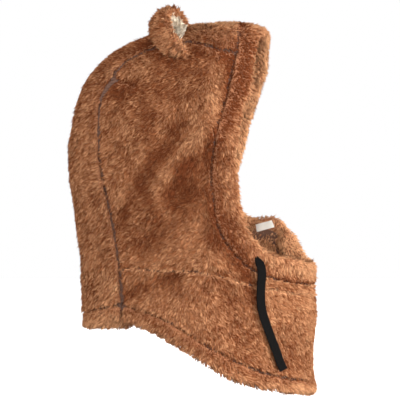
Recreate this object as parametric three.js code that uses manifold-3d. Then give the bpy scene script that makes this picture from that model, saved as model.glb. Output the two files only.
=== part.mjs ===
// Plush hood with bear ears, in millimetres. It keeps the form that it has when worn:
// the face looks along -Y, the wearer's right is -X and +Z is up. The origin is the point
// inside the crown where the head carries the hood.
import * as THREE from 'three';
import { mergeVertices } from 'three/addons/utils/BufferGeometryUtils.js';
import Module from 'manifold-3d';

// Driving dimensions
const hoodHeight = 398; // lowest point of the bib to the top of the crown
const hoodDepth = 266; // back of the head to the front of the bib
const hoodWidth = 160; // across the temples
const clothWall = 4; // two-sided plush, without the loose ends of its pile
const seamGap = 0.3; // clearance between pieces that are sewn together
const casingThickness = 11.5; // two layers of plush with the tape between them
const hemThickness = 9; // turned cloth, two layers
const stitchThickness = 5; // a casing or hem where its stitches press it flat
const foldHeight = 5.5; // height of the deepest fold of the cheek
const earWidth = 60;
const earHeight = 62; // the whole disc, of which the hood hides the foot
const earDepth = 30; // how deep the ear is cupped
const earWall = 8; // brown plush turned over the lining
const liningWall = 3;
const tapeWidth = 8;
const tapeThickness = 1.6;
const labelWidth = 17;
const labelHeight = 8;
const labelThickness = 0.8;

const wasm = await Module();
wasm.setup();

// Materials
const cloth = (color, roughness) => new THREE.MeshStandardMaterial({ color, roughness, metalness: 0 });
const brownPlush = cloth(0x9a6040, 0.95);
const creamPlush = cloth(0xd8c0a6, 0.95);
const blackElastic = cloth(0x191614, 0.7);
const labelWeave = cloth(0xe4e0d6, 0.8);

// The closed form of the hood, as level sections from the crown down. up is a share of the
// height, back and front of the depth, and half of half the width. The front is where each
// section would close if there were no face opening.
const sections = [
  { up: 1.0, back: 0.568, front: 0.7, half: 0.0 },
  { up: 0.9988, back: 0.544, front: 0.732, half: 0.17 },
  { up: 0.9955, back: 0.504, front: 0.757, half: 0.31 },
  { up: 0.989, back: 0.44, front: 0.785, half: 0.44 },
  { up: 0.978, back: 0.376, front: 0.815, half: 0.555 },
  { up: 0.962, back: 0.308, front: 0.844, half: 0.655 },
  { up: 0.938, back: 0.228, front: 0.876, half: 0.745 },
  { up: 0.906, back: 0.158, front: 0.904, half: 0.822 },
  { up: 0.863, back: 0.098, front: 0.932, half: 0.888 },
  { up: 0.809, back: 0.052, front: 0.958, half: 0.942 },
  { up: 0.745, back: 0.024, front: 0.98, half: 0.98 },
  { up: 0.667, back: 0.004, front: 0.996, half: 1.0 },
  { up: 0.586, back: 0.006, front: 1.0, half: 0.994 },
  { up: 0.505, back: 0.026, front: 1.0, half: 0.97 },
  { up: 0.425, back: 0.042, front: 1.0, half: 0.938 },
  { up: 0.355, back: 0.052, front: 0.998, half: 0.913 },
  { up: 0.293, back: 0.056, front: 0.996, half: 0.92 },
  { up: 0.226, back: 0.064, front: 1.004, half: 0.963 },
  { up: 0.159, back: 0.072, front: 1.002, half: 1.02 },
  { up: 0.078, back: 0.08, front: 0.996, half: 1.085 },
  { up: -0.011, back: 0.088, front: 1.004, half: 1.15 },
];
const widestAt = 0.5; // share of a section's depth where it is widest
const frontRoundness = 1.9; // 2 would be an ellipse
const crownSections = 6; // first sections, so close that each needs one ring
const sectionSteps = 2; // rings made for each section below them
const ringPoints = 32;

// Soft folds of a cheek, each a ridge or valley from one point to another. height is a
// share of the deepest fold and spread a share of the depth.
const folds = [
  { ahead: 0.6, up: 0.87, toAhead: 0.56, toUp: 0.7, height: 0.75, spread: 0.075 },
  { ahead: 0.56, up: 0.7, toAhead: 0.42, toUp: 0.6, height: 0.85, spread: 0.06 },
  { ahead: 0.57, up: 0.62, toAhead: 0.46, toUp: 0.56, height: -1.0, spread: 0.06 },
  { ahead: 0.46, up: 0.55, toAhead: 0.31, toUp: 0.39, height: -0.95, spread: 0.055 },
  { ahead: 0.45, up: 0.72, toAhead: 0.3, toUp: 0.57, height: -0.7, spread: 0.055 },
  { ahead: 0.3, up: 0.57, toAhead: 0.2, toUp: 0.47, height: -0.75, spread: 0.06 },
  { ahead: 0.37, up: 0.57, toAhead: 0.36, toUp: 0.48, height: 0.5, spread: 0.05 },
  { ahead: 0.2, up: 0.81, toAhead: 0.44, toUp: 0.82, height: -0.6, spread: 0.05 },
  { ahead: 0.24, up: 0.87, toAhead: 0.4, toUp: 0.88, height: 0.45, spread: 0.05 },
  { ahead: 0.32, up: 0.345, toAhead: 0.6, toUp: 0.36, height: 0.55, spread: 0.045 },
  { ahead: 0.22, up: 0.26, toAhead: 0.45, toUp: 0.31, height: -0.75, spread: 0.04 },
  { ahead: 0.3, up: 0.25, toAhead: 0.55, toUp: 0.2, height: 0.6, spread: 0.055 },
  { ahead: 0.66, up: 0.25, toAhead: 0.72, toUp: 0.1, height: -0.5, spread: 0.06 },
];

// Value of one column between the rows of a table, on a smooth curve through them
function columnAt(table, column, place) {
  const index = Math.min(Math.max(Math.floor(place), 0), table.length - 2);
  const share = place - index;
  const row = (k) => table[Math.min(Math.max(k, 0), table.length - 1)][column];
  const [before, from, to, after] = [row(index - 1), row(index), row(index + 1), row(index + 2)];
  const bend = 2 * before - 5 * from + 4 * to - after;
  const twist = 3 * (from - to) + after - before;
  return from + 0.5 * share * (to - before + share * (bend + share * twist));
}

// Side bulge of all folds at one place of the side view
function foldAt(ahead, up) {
  const here = new THREE.Vector3(ahead * hoodDepth, up * hoodHeight, 0);
  const nearest = new THREE.Vector3();
  return folds.reduce((sum, fold) => {
    const start = new THREE.Vector3(fold.ahead * hoodDepth, fold.up * hoodHeight, 0);
    const end = new THREE.Vector3(fold.toAhead * hoodDepth, fold.toUp * hoodHeight, 0);
    new THREE.Line3(start, end).closestPointToPoint(here, true, nearest);
    const away = nearest.distanceTo(here) / (fold.spread * hoodDepth);
    return sum + fold.height * foldHeight * Math.exp(-away * away);
  }, 0);
}

// Half width of the form at a place of the side view, from the section at a table place
function halfWidthIn(place, ahead) {
  const back = columnAt(sections, 'back', place);
  const front = columnAt(sections, 'front', place);
  const along = (ahead - back) / (front - back);
  if (along <= 0 || along >= 1) return 0;
  const roundness = along < widestAt ? 2 : frontRoundness;
  const offset = along < widestAt ? 1 - along / widestAt : (along - widestAt) / (1 - widestAt);
  const fullness = (1 - offset ** roundness) ** (1 / roundness);
  const up = columnAt(sections, 'up', place);
  const half = (columnAt(sections, 'half', place) * hoodWidth) / 2;
  return half * fullness + foldAt(ahead, up) * fullness * Math.min(1, half / (0.3 * hoodWidth));
}

// Table place at which a rising test first turns true, by halving
function placeWhere(test, last) {
  let low = 0;
  let high = last;
  for (let turn = 0; turn < 40; turn += 1) {
    const middle = (low + high) / 2;
    if (test(middle)) high = middle;
    else low = middle;
  }
  return (low + high) / 2;
}

// Point of the form in space. side is -1 on the wearer's right and 1 on the left. A row
// gives its place in the side view, or near the crown its distance out from the middle.
function onForm(row, side) {
  if (row.out === undefined) {
    const place = placeWhere((k) => columnAt(sections, 'up', k) < row.up, sections.length - 1);
    return new THREE.Vector3(
      side * halfWidthIn(place, row.ahead), -row.ahead * hoodDepth, row.up * hoodHeight);
  }
  const out = (row.out * hoodWidth) / 2;
  const place = placeWhere((k) => {
    const ahead = columnAt(sections, 'front', k) >= row.ahead;
    return ahead && halfWidthIn(k, row.ahead) >= out;
  }, 10);
  const up = columnAt(sections, 'up', place);
  return new THREE.Vector3(side * out, -row.ahead * hoodDepth, up * hoodHeight);
}

// Closed mesh of rings, each a loop of points. The first and last ring are capped, unless
// the rings run round and meet.
function meshOfRings(rings, meets = false) {
  const points = rings.flat();
  const size = rings[0].length;
  const faces = [];
  const bands = meets ? rings.length : rings.length - 1;
  for (let r = 0; r < bands; r += 1) {
    const next = (r + 1) % rings.length;
    for (let k = 0; k < size; k += 1) {
      const after = (k + 1) % size;
      faces.push(r * size + k, next * size + k, next * size + after);
      faces.push(r * size + k, next * size + after, r * size + after);
    }
  }
  if (!meets) {
    const last = (rings.length - 1) * size;
    for (let k = 1; k < size - 1; k += 1) {
      faces.push(0, k, k + 1);
      faces.push(last, last + k + 1, last + k);
    }
  }
  const geometry = new THREE.BufferGeometry();
  geometry.setAttribute('position', new THREE.Float32BufferAttribute(points.flatMap((p) => p.toArray()), 3));
  geometry.setIndex(faces);
  return geometry;
}

// Solid for cutting and joining, with its faces turned outwards
function solidOf(geometry) {
  const bare = geometry.clone();
  bare.deleteAttribute('normal');
  bare.deleteAttribute('uv');
  const merged = mergeVertices(bare, 1e-4);
  const index = merged.index.array;
  const triVerts = [];
  for (let k = 0; k < index.length; k += 3) {
    const [a, b, c] = [index[k], index[k + 1], index[k + 2]];
    if (a !== b && b !== c && c !== a) triVerts.push(a, b, c);
  }
  const vertProperties = new Float32Array(merged.attributes.position.array);
  const build = (corners) => new wasm.Manifold(
    new wasm.Mesh({ numProp: 3, vertProperties, triVerts: new Uint32Array(corners) }));
  const solid = build(triVerts);
  return solid.volume() > 0 ? solid : build(triVerts.reverse());
}

function geometryOf(solid) {
  const { vertProperties, triVerts } = solid.getMesh();
  const geometry = new THREE.BufferGeometry();
  geometry.setAttribute('position', new THREE.BufferAttribute(new Float32Array(vertProperties), 3));
  geometry.setIndex(new THREE.BufferAttribute(new Uint32Array(triVerts), 1));
  return geometry;
}

// Named mesh of a finished solid
function meshOfSolid(name, solid, material) {
  const geometry = geometryOf(solid);
  geometry.computeVertexNormals();
  const mesh = new THREE.Mesh(geometry, material);
  mesh.name = name;
  return mesh;
}

// Rings of the form moved along its normals: outwards is positive. drop lowers the foot.
function formRings(offset, drop = 0) {
  const ringCount = crownSections + (sections.length - 1 - crownSections) * sectionSteps + 1;
  const half = ringPoints / 2;
  const rings = [];
  for (let r = 0; r < ringCount; r += 1) {
    const place = r < crownSections ? r : crownSections + (r - crownSections) / sectionSteps;
    const back = columnAt(sections, 'back', place);
    const front = columnAt(sections, 'front', place);
    const up = columnAt(sections, 'up', place);
    const ring = [];
    for (let k = 0; k < ringPoints; k += 1) {
      const side = k <= half ? -1 : 1;
      const turn = (Math.PI * (k <= half ? k : ringPoints - k)) / half;
      const forward = -Math.cos(turn);
      const reach = forward < 0
        ? forward * widestAt
        : forward ** (2 / frontRoundness) * (1 - widestAt);
      const ahead = back + (front - back) * (widestAt + reach);
      const out = k % half === 0 ? 0 : side * halfWidthIn(place, ahead);
      ring.push(new THREE.Vector3(out, -ahead * hoodDepth, up * hoodHeight));
    }
    rings.push(ring);
  }
  if (offset === 0) return rings;
  return moveOutwards(rings, offset, drop);
}

function moveOutwards(rings, offset, drop) {
  const last = rings.length - 1;
  const around = new THREE.Vector3();
  const down = new THREE.Vector3();
  return rings.map((ring, r) => ring.map((point, k) => {
    const previous = ring[(k + ringPoints - 1) % ringPoints];
    const following = ring[(k + 1) % ringPoints];
    const normal = new THREE.Vector3(0, 0, 1);
    if (r > 0) {
      around.subVectors(following, previous);
      down.subVectors(rings[Math.min(r + 1, last)][k], rings[r - 1][k]);
      normal.crossVectors(down, around).normalize();
    }
    const moved = point.clone().addScaledVector(normal, offset);
    if (r === last) moved.z = point.z - drop;
    return moved;
  }));
}

const form = solidOf(meshOfRings(formRings(0)));
const hollow = solidOf(meshOfRings(formRings(-clothWall, clothWall)));
const clearForm = solidOf(meshOfRings(formRings(seamGap)));
const shell = form.subtract(hollow);

// Seams and edges, as places of the side view. The crown seam runs from the casing over
// the crown to the foot of the nape.
const crownSeam = [
  { ahead: 0.735, up: 0.917 }, { ahead: 0.68, up: 0.916 }, { ahead: 0.603, up: 0.923 },
  { ahead: 0.552, up: 0.936 }, { ahead: 0.5, up: 0.943 }, { ahead: 0.43, up: 0.938 },
  { ahead: 0.363, up: 0.928 }, { ahead: 0.285, up: 0.91 }, { ahead: 0.224, up: 0.885 },
  { ahead: 0.194, up: 0.856 }, { ahead: 0.176, up: 0.83 }, { ahead: 0.15, up: 0.805 },
  { ahead: 0.136, up: 0.77 }, { ahead: 0.131, up: 0.71 }, { ahead: 0.138, up: 0.63 },
  { ahead: 0.158, up: 0.55 }, { ahead: 0.182, up: 0.475 }, { ahead: 0.203, up: 0.4 },
  { ahead: 0.216, up: 0.336 }, { ahead: 0.222, up: 0.28 }, { ahead: 0.224, up: 0.246 },
];
const neckSeam = [
  { ahead: 0.216, up: 0.336 }, { ahead: 0.27, up: 0.341 }, { ahead: 0.35, up: 0.338 },
  { ahead: 0.446, up: 0.336 }, { ahead: 0.55, up: 0.33 }, { ahead: 0.64, up: 0.317 },
  { ahead: 0.72, up: 0.3 }, { ahead: 0.8, up: 0.288 }, { ahead: 0.88, up: 0.277 },
  { ahead: 0.95, up: 0.272 }, { ahead: 1.02, up: 0.272 },
];

// The casing's two edges. Near the crown a row gives its distance out from the middle.
// flare tips the opening's edge outwards, as a share of the casing's width.
const casingBrow = {
  right: [
    { edge: { ahead: 0.816, out: 0 }, seam: { ahead: 0.688, out: 0 } },
    { edge: { ahead: 0.811, out: 0.13 }, seam: { ahead: 0.688, out: 0.16 } },
    { edge: { ahead: 0.8, out: 0.25 }, seam: { ahead: 0.688, out: 0.33 } },
    { edge: { ahead: 0.784, out: 0.37 }, seam: { ahead: 0.686, out: 0.48 } },
  ],
  left: [
    { edge: { ahead: 0.818, out: 0.11 }, seam: { ahead: 0.69, out: 0.16 } },
    { edge: { ahead: 0.823, out: 0.2 }, seam: { ahead: 0.695, out: 0.32 } },
    { edge: { ahead: 0.826, out: 0.27 }, seam: { ahead: 0.702, out: 0.46 } },
  ],
};
const casingSide = {
  right: [
    { edge: { ahead: 0.764, up: 0.918 }, seam: { ahead: 0.682, up: 0.915 }, flare: 0 },
    { edge: { ahead: 0.751, up: 0.862 }, seam: { ahead: 0.664, up: 0.86 }, flare: 0 },
    { edge: { ahead: 0.733, up: 0.818 }, seam: { ahead: 0.648, up: 0.817 }, flare: 0 },
    { edge: { ahead: 0.716, up: 0.772 }, seam: { ahead: 0.628, up: 0.77 }, flare: 0 },
    { edge: { ahead: 0.7, up: 0.724 }, seam: { ahead: 0.607, up: 0.722 }, flare: 0 },
    { edge: { ahead: 0.689, up: 0.668 }, seam: { ahead: 0.591, up: 0.665 }, flare: 0 },
    { edge: { ahead: 0.685, up: 0.612 }, seam: { ahead: 0.585, up: 0.61 }, flare: 0 },
    { edge: { ahead: 0.689, up: 0.565 }, seam: { ahead: 0.586, up: 0.558 }, flare: 0 },
    { edge: { ahead: 0.698, up: 0.522 }, seam: { ahead: 0.591, up: 0.508 }, flare: 0 },
    { edge: { ahead: 0.712, up: 0.481 }, seam: { ahead: 0.604, up: 0.457 }, flare: 0 },
    { edge: { ahead: 0.731, up: 0.444 }, seam: { ahead: 0.638, up: 0.412 }, flare: 0 },
    { edge: { ahead: 0.757, up: 0.416 }, seam: { ahead: 0.679, up: 0.375 }, flare: 0 },
    { edge: { ahead: 0.79, up: 0.395 }, seam: { ahead: 0.726, up: 0.345 }, flare: 0 },
    { edge: { ahead: 0.83, up: 0.382 }, seam: { ahead: 0.782, up: 0.325 }, flare: 0 },
    { edge: { ahead: 0.88, up: 0.373 }, seam: { ahead: 0.85, up: 0.31 }, flare: 0 },
    { edge: { ahead: 0.935, up: 0.366 }, seam: { ahead: 0.918, up: 0.301 }, flare: 0 },
    { edge: { ahead: 0.976, up: 0.361 }, seam: { ahead: 0.97, up: 0.297 }, flare: 0 },
  ],
  left: [
    { edge: { ahead: 0.828, up: 0.944 }, seam: { ahead: 0.714, up: 0.92 }, flare: 0 },
    { edge: { ahead: 0.823, up: 0.89 }, seam: { ahead: 0.716, up: 0.874 }, flare: 0 },
    { edge: { ahead: 0.802, up: 0.826 }, seam: { ahead: 0.698, up: 0.815 }, flare: 0 },
    { edge: { ahead: 0.773, up: 0.78 }, seam: { ahead: 0.669, up: 0.77 }, flare: 0 },
    { edge: { ahead: 0.748, up: 0.733 }, seam: { ahead: 0.644, up: 0.725 }, flare: 0 },
    { edge: { ahead: 0.727, up: 0.678 }, seam: { ahead: 0.622, up: 0.674 }, flare: 0 },
    { edge: { ahead: 0.707, up: 0.631 }, seam: { ahead: 0.602, up: 0.628 }, flare: 0 },
    { edge: { ahead: 0.691, up: 0.585 }, seam: { ahead: 0.588, up: 0.575 }, flare: 0 },
    { edge: { ahead: 0.69, up: 0.542 }, seam: { ahead: 0.59, up: 0.522 }, flare: 0.05 },
    { edge: { ahead: 0.704, up: 0.505 }, seam: { ahead: 0.612, up: 0.472 }, flare: 0.2 },
    { edge: { ahead: 0.728, up: 0.482 }, seam: { ahead: 0.65, up: 0.438 }, flare: 0.3 },
    { edge: { ahead: 0.761, up: 0.471 }, seam: { ahead: 0.704, up: 0.426 }, flare: 0.4 },
    { edge: { ahead: 0.802, up: 0.469 }, seam: { ahead: 0.757, up: 0.424 }, flare: 0.42 },
    { edge: { ahead: 0.842, up: 0.475 }, seam: { ahead: 0.808, up: 0.426 }, flare: 0.4, label: true },
    { edge: { ahead: 0.877, up: 0.472 }, seam: { ahead: 0.85, up: 0.415 }, flare: 0.35 },
    { edge: { ahead: 0.908, up: 0.449 }, seam: { ahead: 0.878, up: 0.385 }, flare: 0.25 },
    { edge: { ahead: 0.934, up: 0.42 }, seam: { ahead: 0.905, up: 0.35 }, flare: 0.15 },
    { edge: { ahead: 0.958, up: 0.39 }, seam: { ahead: 0.936, up: 0.322 }, flare: 0.1 },
    { edge: { ahead: 0.98, up: 0.366 }, seam: { ahead: 0.973, up: 0.302 }, flare: 0.05 },
  ],
};
const casingChin = { edge: { ahead: 0.992, up: 0.358 }, seam: { ahead: 0.995, up: 0.295 } };

// Hems, from the stitch line down to the edge
const bibHemRows = [
  { edge: { ahead: 0.228, up: 0.197 }, seam: { ahead: 0.226, up: 0.246 } },
  { edge: { ahead: 0.284, up: 0.187 }, seam: { ahead: 0.275, up: 0.235 } },
  { edge: { ahead: 0.352, up: 0.17 }, seam: { ahead: 0.342, up: 0.222 } },
  { edge: { ahead: 0.43, up: 0.141 }, seam: { ahead: 0.418, up: 0.198 } },
  { edge: { ahead: 0.512, up: 0.104 }, seam: { ahead: 0.5, up: 0.162 } },
  { edge: { ahead: 0.6, up: 0.068 }, seam: { ahead: 0.586, up: 0.13 } },
  { edge: { ahead: 0.69, up: 0.04 }, seam: { ahead: 0.675, up: 0.098 } },
  { edge: { ahead: 0.78, up: 0.022 }, seam: { ahead: 0.768, up: 0.072 } },
  { edge: { ahead: 0.87, up: 0.009 }, seam: { ahead: 0.862, up: 0.053 } },
  { edge: { ahead: 0.94, up: 0.002 }, seam: { ahead: 0.936, up: 0.043 } },
  { edge: { ahead: 0.985, up: 0.0 }, seam: { ahead: 0.982, up: 0.038 } },
];
const bibHemFront = { edge: { ahead: 1.002, up: 0.0 }, seam: { ahead: 1.0, up: 0.037 } };
const napeHemRows = [
  { edge: { ahead: 0.221, up: 0.177 }, seam: { ahead: 0.219, up: 0.243 } },
  { edge: { ahead: 0.17, up: 0.176 }, seam: { ahead: 0.168, up: 0.238 } },
  { edge: { ahead: 0.12, up: 0.176 }, seam: { ahead: 0.12, up: 0.229 } },
  { edge: { ahead: 0.085, up: 0.178 }, seam: { ahead: 0.083, up: 0.222 } },
];
const napeHemBack = { edge: { ahead: 0.069, up: 0.18 }, seam: { ahead: 0.066, up: 0.22 } };

// Station of a band: its two edges in space. The stations run so that the inside of the
// hood lies on one hand of them: from the right round to the left under the chin and round
// the nape, and from the left to the right along the bib.
function stationOf(row, side, width) {
  const seam = onForm(row.seam, side);
  const edge = onForm(row.edge, side);
  edge.x += side * (row.flare ?? 0) * width;
  return { seam, edge, label: row.label };
}

function middleStation(row) {
  const point = (place) => new THREE.Vector3(0, -place.ahead * hoodDepth, place.up * hoodHeight);
  return { seam: point(row.seam), edge: point(row.edge) };
}

// Outline of a band across its width: across is a share of the width and thick of half
// the thickness
const bandSection = [
  { across: 0, thick: 0 }, { across: 0.3, thick: 0.72 }, { across: 0.65, thick: 1 },
  { across: 0.9, thick: 0.78 }, { across: 1, thick: 0 },
];

const bandSteps = 1.5; // rings for each station

// Half thickness of a band at a share of its width
function halfThickness(across, thickness) {
  const after = bandSection.findIndex((row) => row.across >= across);
  const to = bandSection[Math.max(after, 1)];
  const from = bandSection[Math.max(after, 1) - 1];
  const share = (across - from.across) / (to.across - from.across);
  const thick = from.thick + share * (to.thick - from.thick);
  return stitchThickness / 2 + thick * (thickness - stitchThickness) / 2;
}

// Place on a band, halfway through the cloth's wall: its seam, its width and the
// directions across it and into the hood
function bandFrame(curves, share) {
  const seam = curves.seam.getPoint(share);
  const edge = curves.edge.getPoint(share);
  const along = curves.seam.getTangent(share).add(curves.edge.getTangent(share)).normalize();
  const across = edge.sub(seam);
  const width = across.length();
  across.normalize();
  const inwards = new THREE.Vector3().crossVectors(across, along).normalize();
  seam.addScaledVector(inwards, clothWall / 2);
  return { seam, across, inwards, width };
}

function bandCurves(stations, closed) {
  const curve = (key) => new THREE.CatmullRomCurve3(stations.map((s) => s[key]), closed, 'centripetal');
  return { seam: curve('seam'), edge: curve('edge') };
}

// Point of a band off its middle surface: positive lift is towards the inside of the hood
function bandPoint(frame, across, lift) {
  return frame.seam.clone().addScaledVector(frame.across, across * frame.width)
    .addScaledVector(frame.inwards, lift);
}

// Smooth band through its stations. grow is the clearance that it takes from its
// neighbours at the seam, and cutDepth replaces its own thickness where it cuts them.
function bandGeometry(stations, thickness, closed, grow = 0, cutDepth = 0) {
  const curves = bandCurves(stations, closed);
  const steps = Math.round((closed ? stations.length : stations.length - 1) * bandSteps);
  const rings = [];
  for (let k = 0; k < steps + (closed ? 0 : 1); k += 1) {
    const frame = bandFrame(curves, k / steps);
    const place = (row, face) => {
      const half = cutDepth ? cutDepth / 2 : halfThickness(row.across, thickness);
      const across = row.across === 0 ? -grow / frame.width : row.across;
      return bandPoint(frame, across, row.across === 1 ? 0 : face * half);
    };
    const inner = bandSection.map((row) => place(row, 1));
    const outer = bandSection.slice(0, -1).reverse().map((row) => place(row, -1));
    rings.push([...inner, ...outer]);
  }
  return meshOfRings(rings, closed);
}

const chinStation = middleStation(casingChin);
const casingWidth = chinStation.seam.distanceTo(chinStation.edge);
const casingStations = [
  ...casingBrow.right.map((row) => stationOf(row, -1, casingWidth)),
  ...casingSide.right.map((row) => stationOf(row, -1, casingWidth)),
  chinStation,
  ...casingSide.left.map((row) => stationOf(row, 1, casingWidth)).reverse(),
  ...casingBrow.left.map((row) => stationOf(row, 1, casingWidth)).reverse(),
];
const bibHemStations = [
  ...bibHemRows.map((row) => stationOf(row, 1, 0)),
  middleStation(bibHemFront),
  ...bibHemRows.map((row) => stationOf(row, -1, 0)).reverse(),
];
const napeHemStations = [
  ...napeHemRows.map((row) => stationOf(row, -1, 0)),
  middleStation(napeHemBack),
  ...napeHemRows.map((row) => stationOf(row, 1, 0)).reverse(),
];

const cutThickness = 4 * clothWall; // reaches through the wall also where a band tips outwards
function bandCutter(stations, thickness, closed) {
  const grown = solidOf(bandGeometry(stations, thickness + 2 * seamGap, closed, seamGap));
  return grown.add(solidOf(bandGeometry(stations, 0, closed, seamGap, cutThickness)));
}

const casingCutter = bandCutter(casingStations, casingThickness, true);
const bibHemCutter = bandCutter(bibHemStations, hemThickness, false);
const napeHemCutter = bandCutter(napeHemStations, hemThickness, false);

// Points of the side view, in millimetres ahead and up
const sidePoint = (place) => new THREE.Vector2(place.ahead * hoodDepth, place.up * hoodHeight);
const smooth = (rows) => new THREE.SplineCurve(rows.map(sidePoint))
  .getPoints(Math.round((rows.length - 1) * bandSteps));

// Line just inside a band, seen from the side, where a panel is trimmed before the band
// cuts its true edge
const trimShare = 0.12;
function trimLine(rows) {
  return smooth(rows.map(({ seam, edge }) => ({
    ahead: seam.ahead + trimShare * (edge.ahead - seam.ahead),
    up: seam.up + trimShare * (edge.up - seam.up),
  })));
}

// Closed outline moved inwards, so that neighbours keep half the seam's clearance each
function shrink(outline, distance) {
  const clockwise = THREE.ShapeUtils.isClockWise(outline);
  const ordered = clockwise ? [...outline].reverse() : outline;
  const count = ordered.length;
  return ordered.map((point, k) => {
    const before = point.clone().sub(ordered[(k + count - 1) % count]).normalize();
    const after = ordered[(k + 1) % count].clone().sub(point).normalize();
    const inwards = new THREE.Vector2(-before.y - after.y, before.x + after.x).normalize();
    return point.clone().addScaledVector(inwards, distance);
  });
}

// Solid that covers an outline of the side view from one distance out to another
function outlineSolid(outline, fromX, toX) {
  const shape = new THREE.Shape(shrink(outline, seamGap / 2));
  const geometry = new THREE.ExtrudeGeometry(shape, { depth: toX - fromX, bevelEnabled: false });
  const toHood = new THREE.Matrix4().makeBasis(
    new THREE.Vector3(0, -1, 0), new THREE.Vector3(0, 0, 1), new THREE.Vector3(-1, 0, 0));
  geometry.applyMatrix4(toHood);
  geometry.translate(toX, 0, 0);
  return solidOf(geometry);
}

const reachOut = hoodWidth; // past both sides of the hood
const seatAhead = 0.62; // where the crown rests on the head, as a share of the depth
const group = new THREE.Group();
const hood = new THREE.Group();
hood.position.set(0, seatAhead * hoodDepth, clothWall - hoodHeight);
group.add(hood);

function addCentrePanel() {
  const top = hoodHeight * 1.1;
  const behind = -0.1 * hoodDepth;
  const seamLine = smooth(crownSeam);
  const outline = [
    new THREE.Vector2(seamLine[0].x, top),
    ...seamLine,
    ...trimLine([...napeHemRows, napeHemBack]).slice(1),
    new THREE.Vector2(behind, napeHemBack.seam.up * hoodHeight),
    new THREE.Vector2(behind, top),
  ];
  const panel = shell.intersect(outlineSolid(outline, -reachOut, reachOut))
    .subtract(casingCutter).subtract(napeHemCutter);
  hood.add(meshOfSolid('centre_panel', panel, brownPlush));
}

function addSidePanel(name, key, side) {
  const neckEnd = neckSeam.length - 1;
  const crownPart = crownSeam.filter((row) => row.up > neckSeam[0].up);
  const chinEnd = { ahead: neckSeam[neckEnd].ahead, up: casingChin.seam.up };
  const outline = [
    ...trimLine([...casingSide[key].slice(1), casingChin]),
    sidePoint(chinEnd),
    ...smooth([...neckSeam].reverse()),
    ...smooth([...crownPart].reverse()),
  ];
  const nearX = side < 0 ? -reachOut : seamGap / 2;
  const panel = shell.intersect(outlineSolid(outline, nearX, nearX + reachOut - seamGap / 2))
    .subtract(casingCutter);
  hood.add(meshOfSolid(name, panel, brownPlush));
}

function addNeckBib() {
  const crownPart = crownSeam.filter((row) => row.up <= neckSeam[0].up);
  const past = neckSeam[neckSeam.length - 1];
  const outline = [
    ...smooth(neckSeam),
    sidePoint({ ahead: past.ahead, up: bibHemFront.seam.up }),
    ...trimLine([...bibHemRows, bibHemFront]).reverse(),
    ...smooth([...crownPart].reverse()).slice(1, -1),
  ];
  const bib = shell.intersect(outlineSolid(outline, -reachOut, reachOut))
    .subtract(bibHemCutter).subtract(napeHemCutter);
  hood.add(meshOfSolid('neck_bib', bib, brownPlush));
}

// One ear on the wearer's right: a cup that opens forwards, outwards and a little up, with
// its foot on the hood. The left ear is its mirror image.
const earAhead = 0.447; // middle of the ear as a share of the depth
const earOut = 0.64; // and of half the width
const earRise = 4; // middle of the ear above the hood there
const earYaw = THREE.MathUtils.degToRad(28); // mouth turned outwards
const earPitch = THREE.MathUtils.degToRad(21); // mouth turned up
const earLean = THREE.MathUtils.degToRad(14); // tip leaning outwards
const earLip = 5; // front of the rim, ahead of the ear's widest point
const liningInset = 2.5; // how far the lining stays behind the rim
const earSides = 16;
const earRings = 9;

function earForm(inset, mouth) {
  const form = new THREE.SphereGeometry(1, earSides, earRings);
  form.scale(earWidth / 2 - inset, earDepth - inset, earHeight / 2 - inset);
  const behindMouth = new THREE.BoxGeometry(2 * earWidth, 2 * earDepth, 2 * earHeight);
  behindMouth.translate(0, earDepth - mouth, 0);
  return solidOf(form).intersect(solidOf(behindMouth));
}

function placeEar(solid, side) {
  const turn = new THREE.Euler(-earPitch, -earLean, -earYaw, 'ZXY');
  const place = new THREE.Matrix4().makeRotationFromEuler(turn);
  const middle = onForm({ ahead: earAhead, out: earOut }, -1);
  place.setPosition(middle.x, middle.y, middle.z + earRise);
  if (side > 0) place.premultiply(new THREE.Matrix4().makeScale(-1, 1, 1));
  return solidOf(geometryOf(solid).applyMatrix4(place)).subtract(clearForm);
}

function addEar(suffix, side) {
  const cup = earForm(0, earLip).subtract(earForm(earWall, 2 * earLip));
  const lining = earForm(earWall + seamGap, earLip - liningInset)
    .subtract(earForm(earWall + seamGap + liningWall, 2 * earLip));
  hood.add(meshOfSolid(`ear_${suffix}`, placeEar(cup, side), brownPlush));
  hood.add(meshOfSolid(`ear_lining_${suffix}`, placeEar(lining, side), creamPlush));
}

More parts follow.
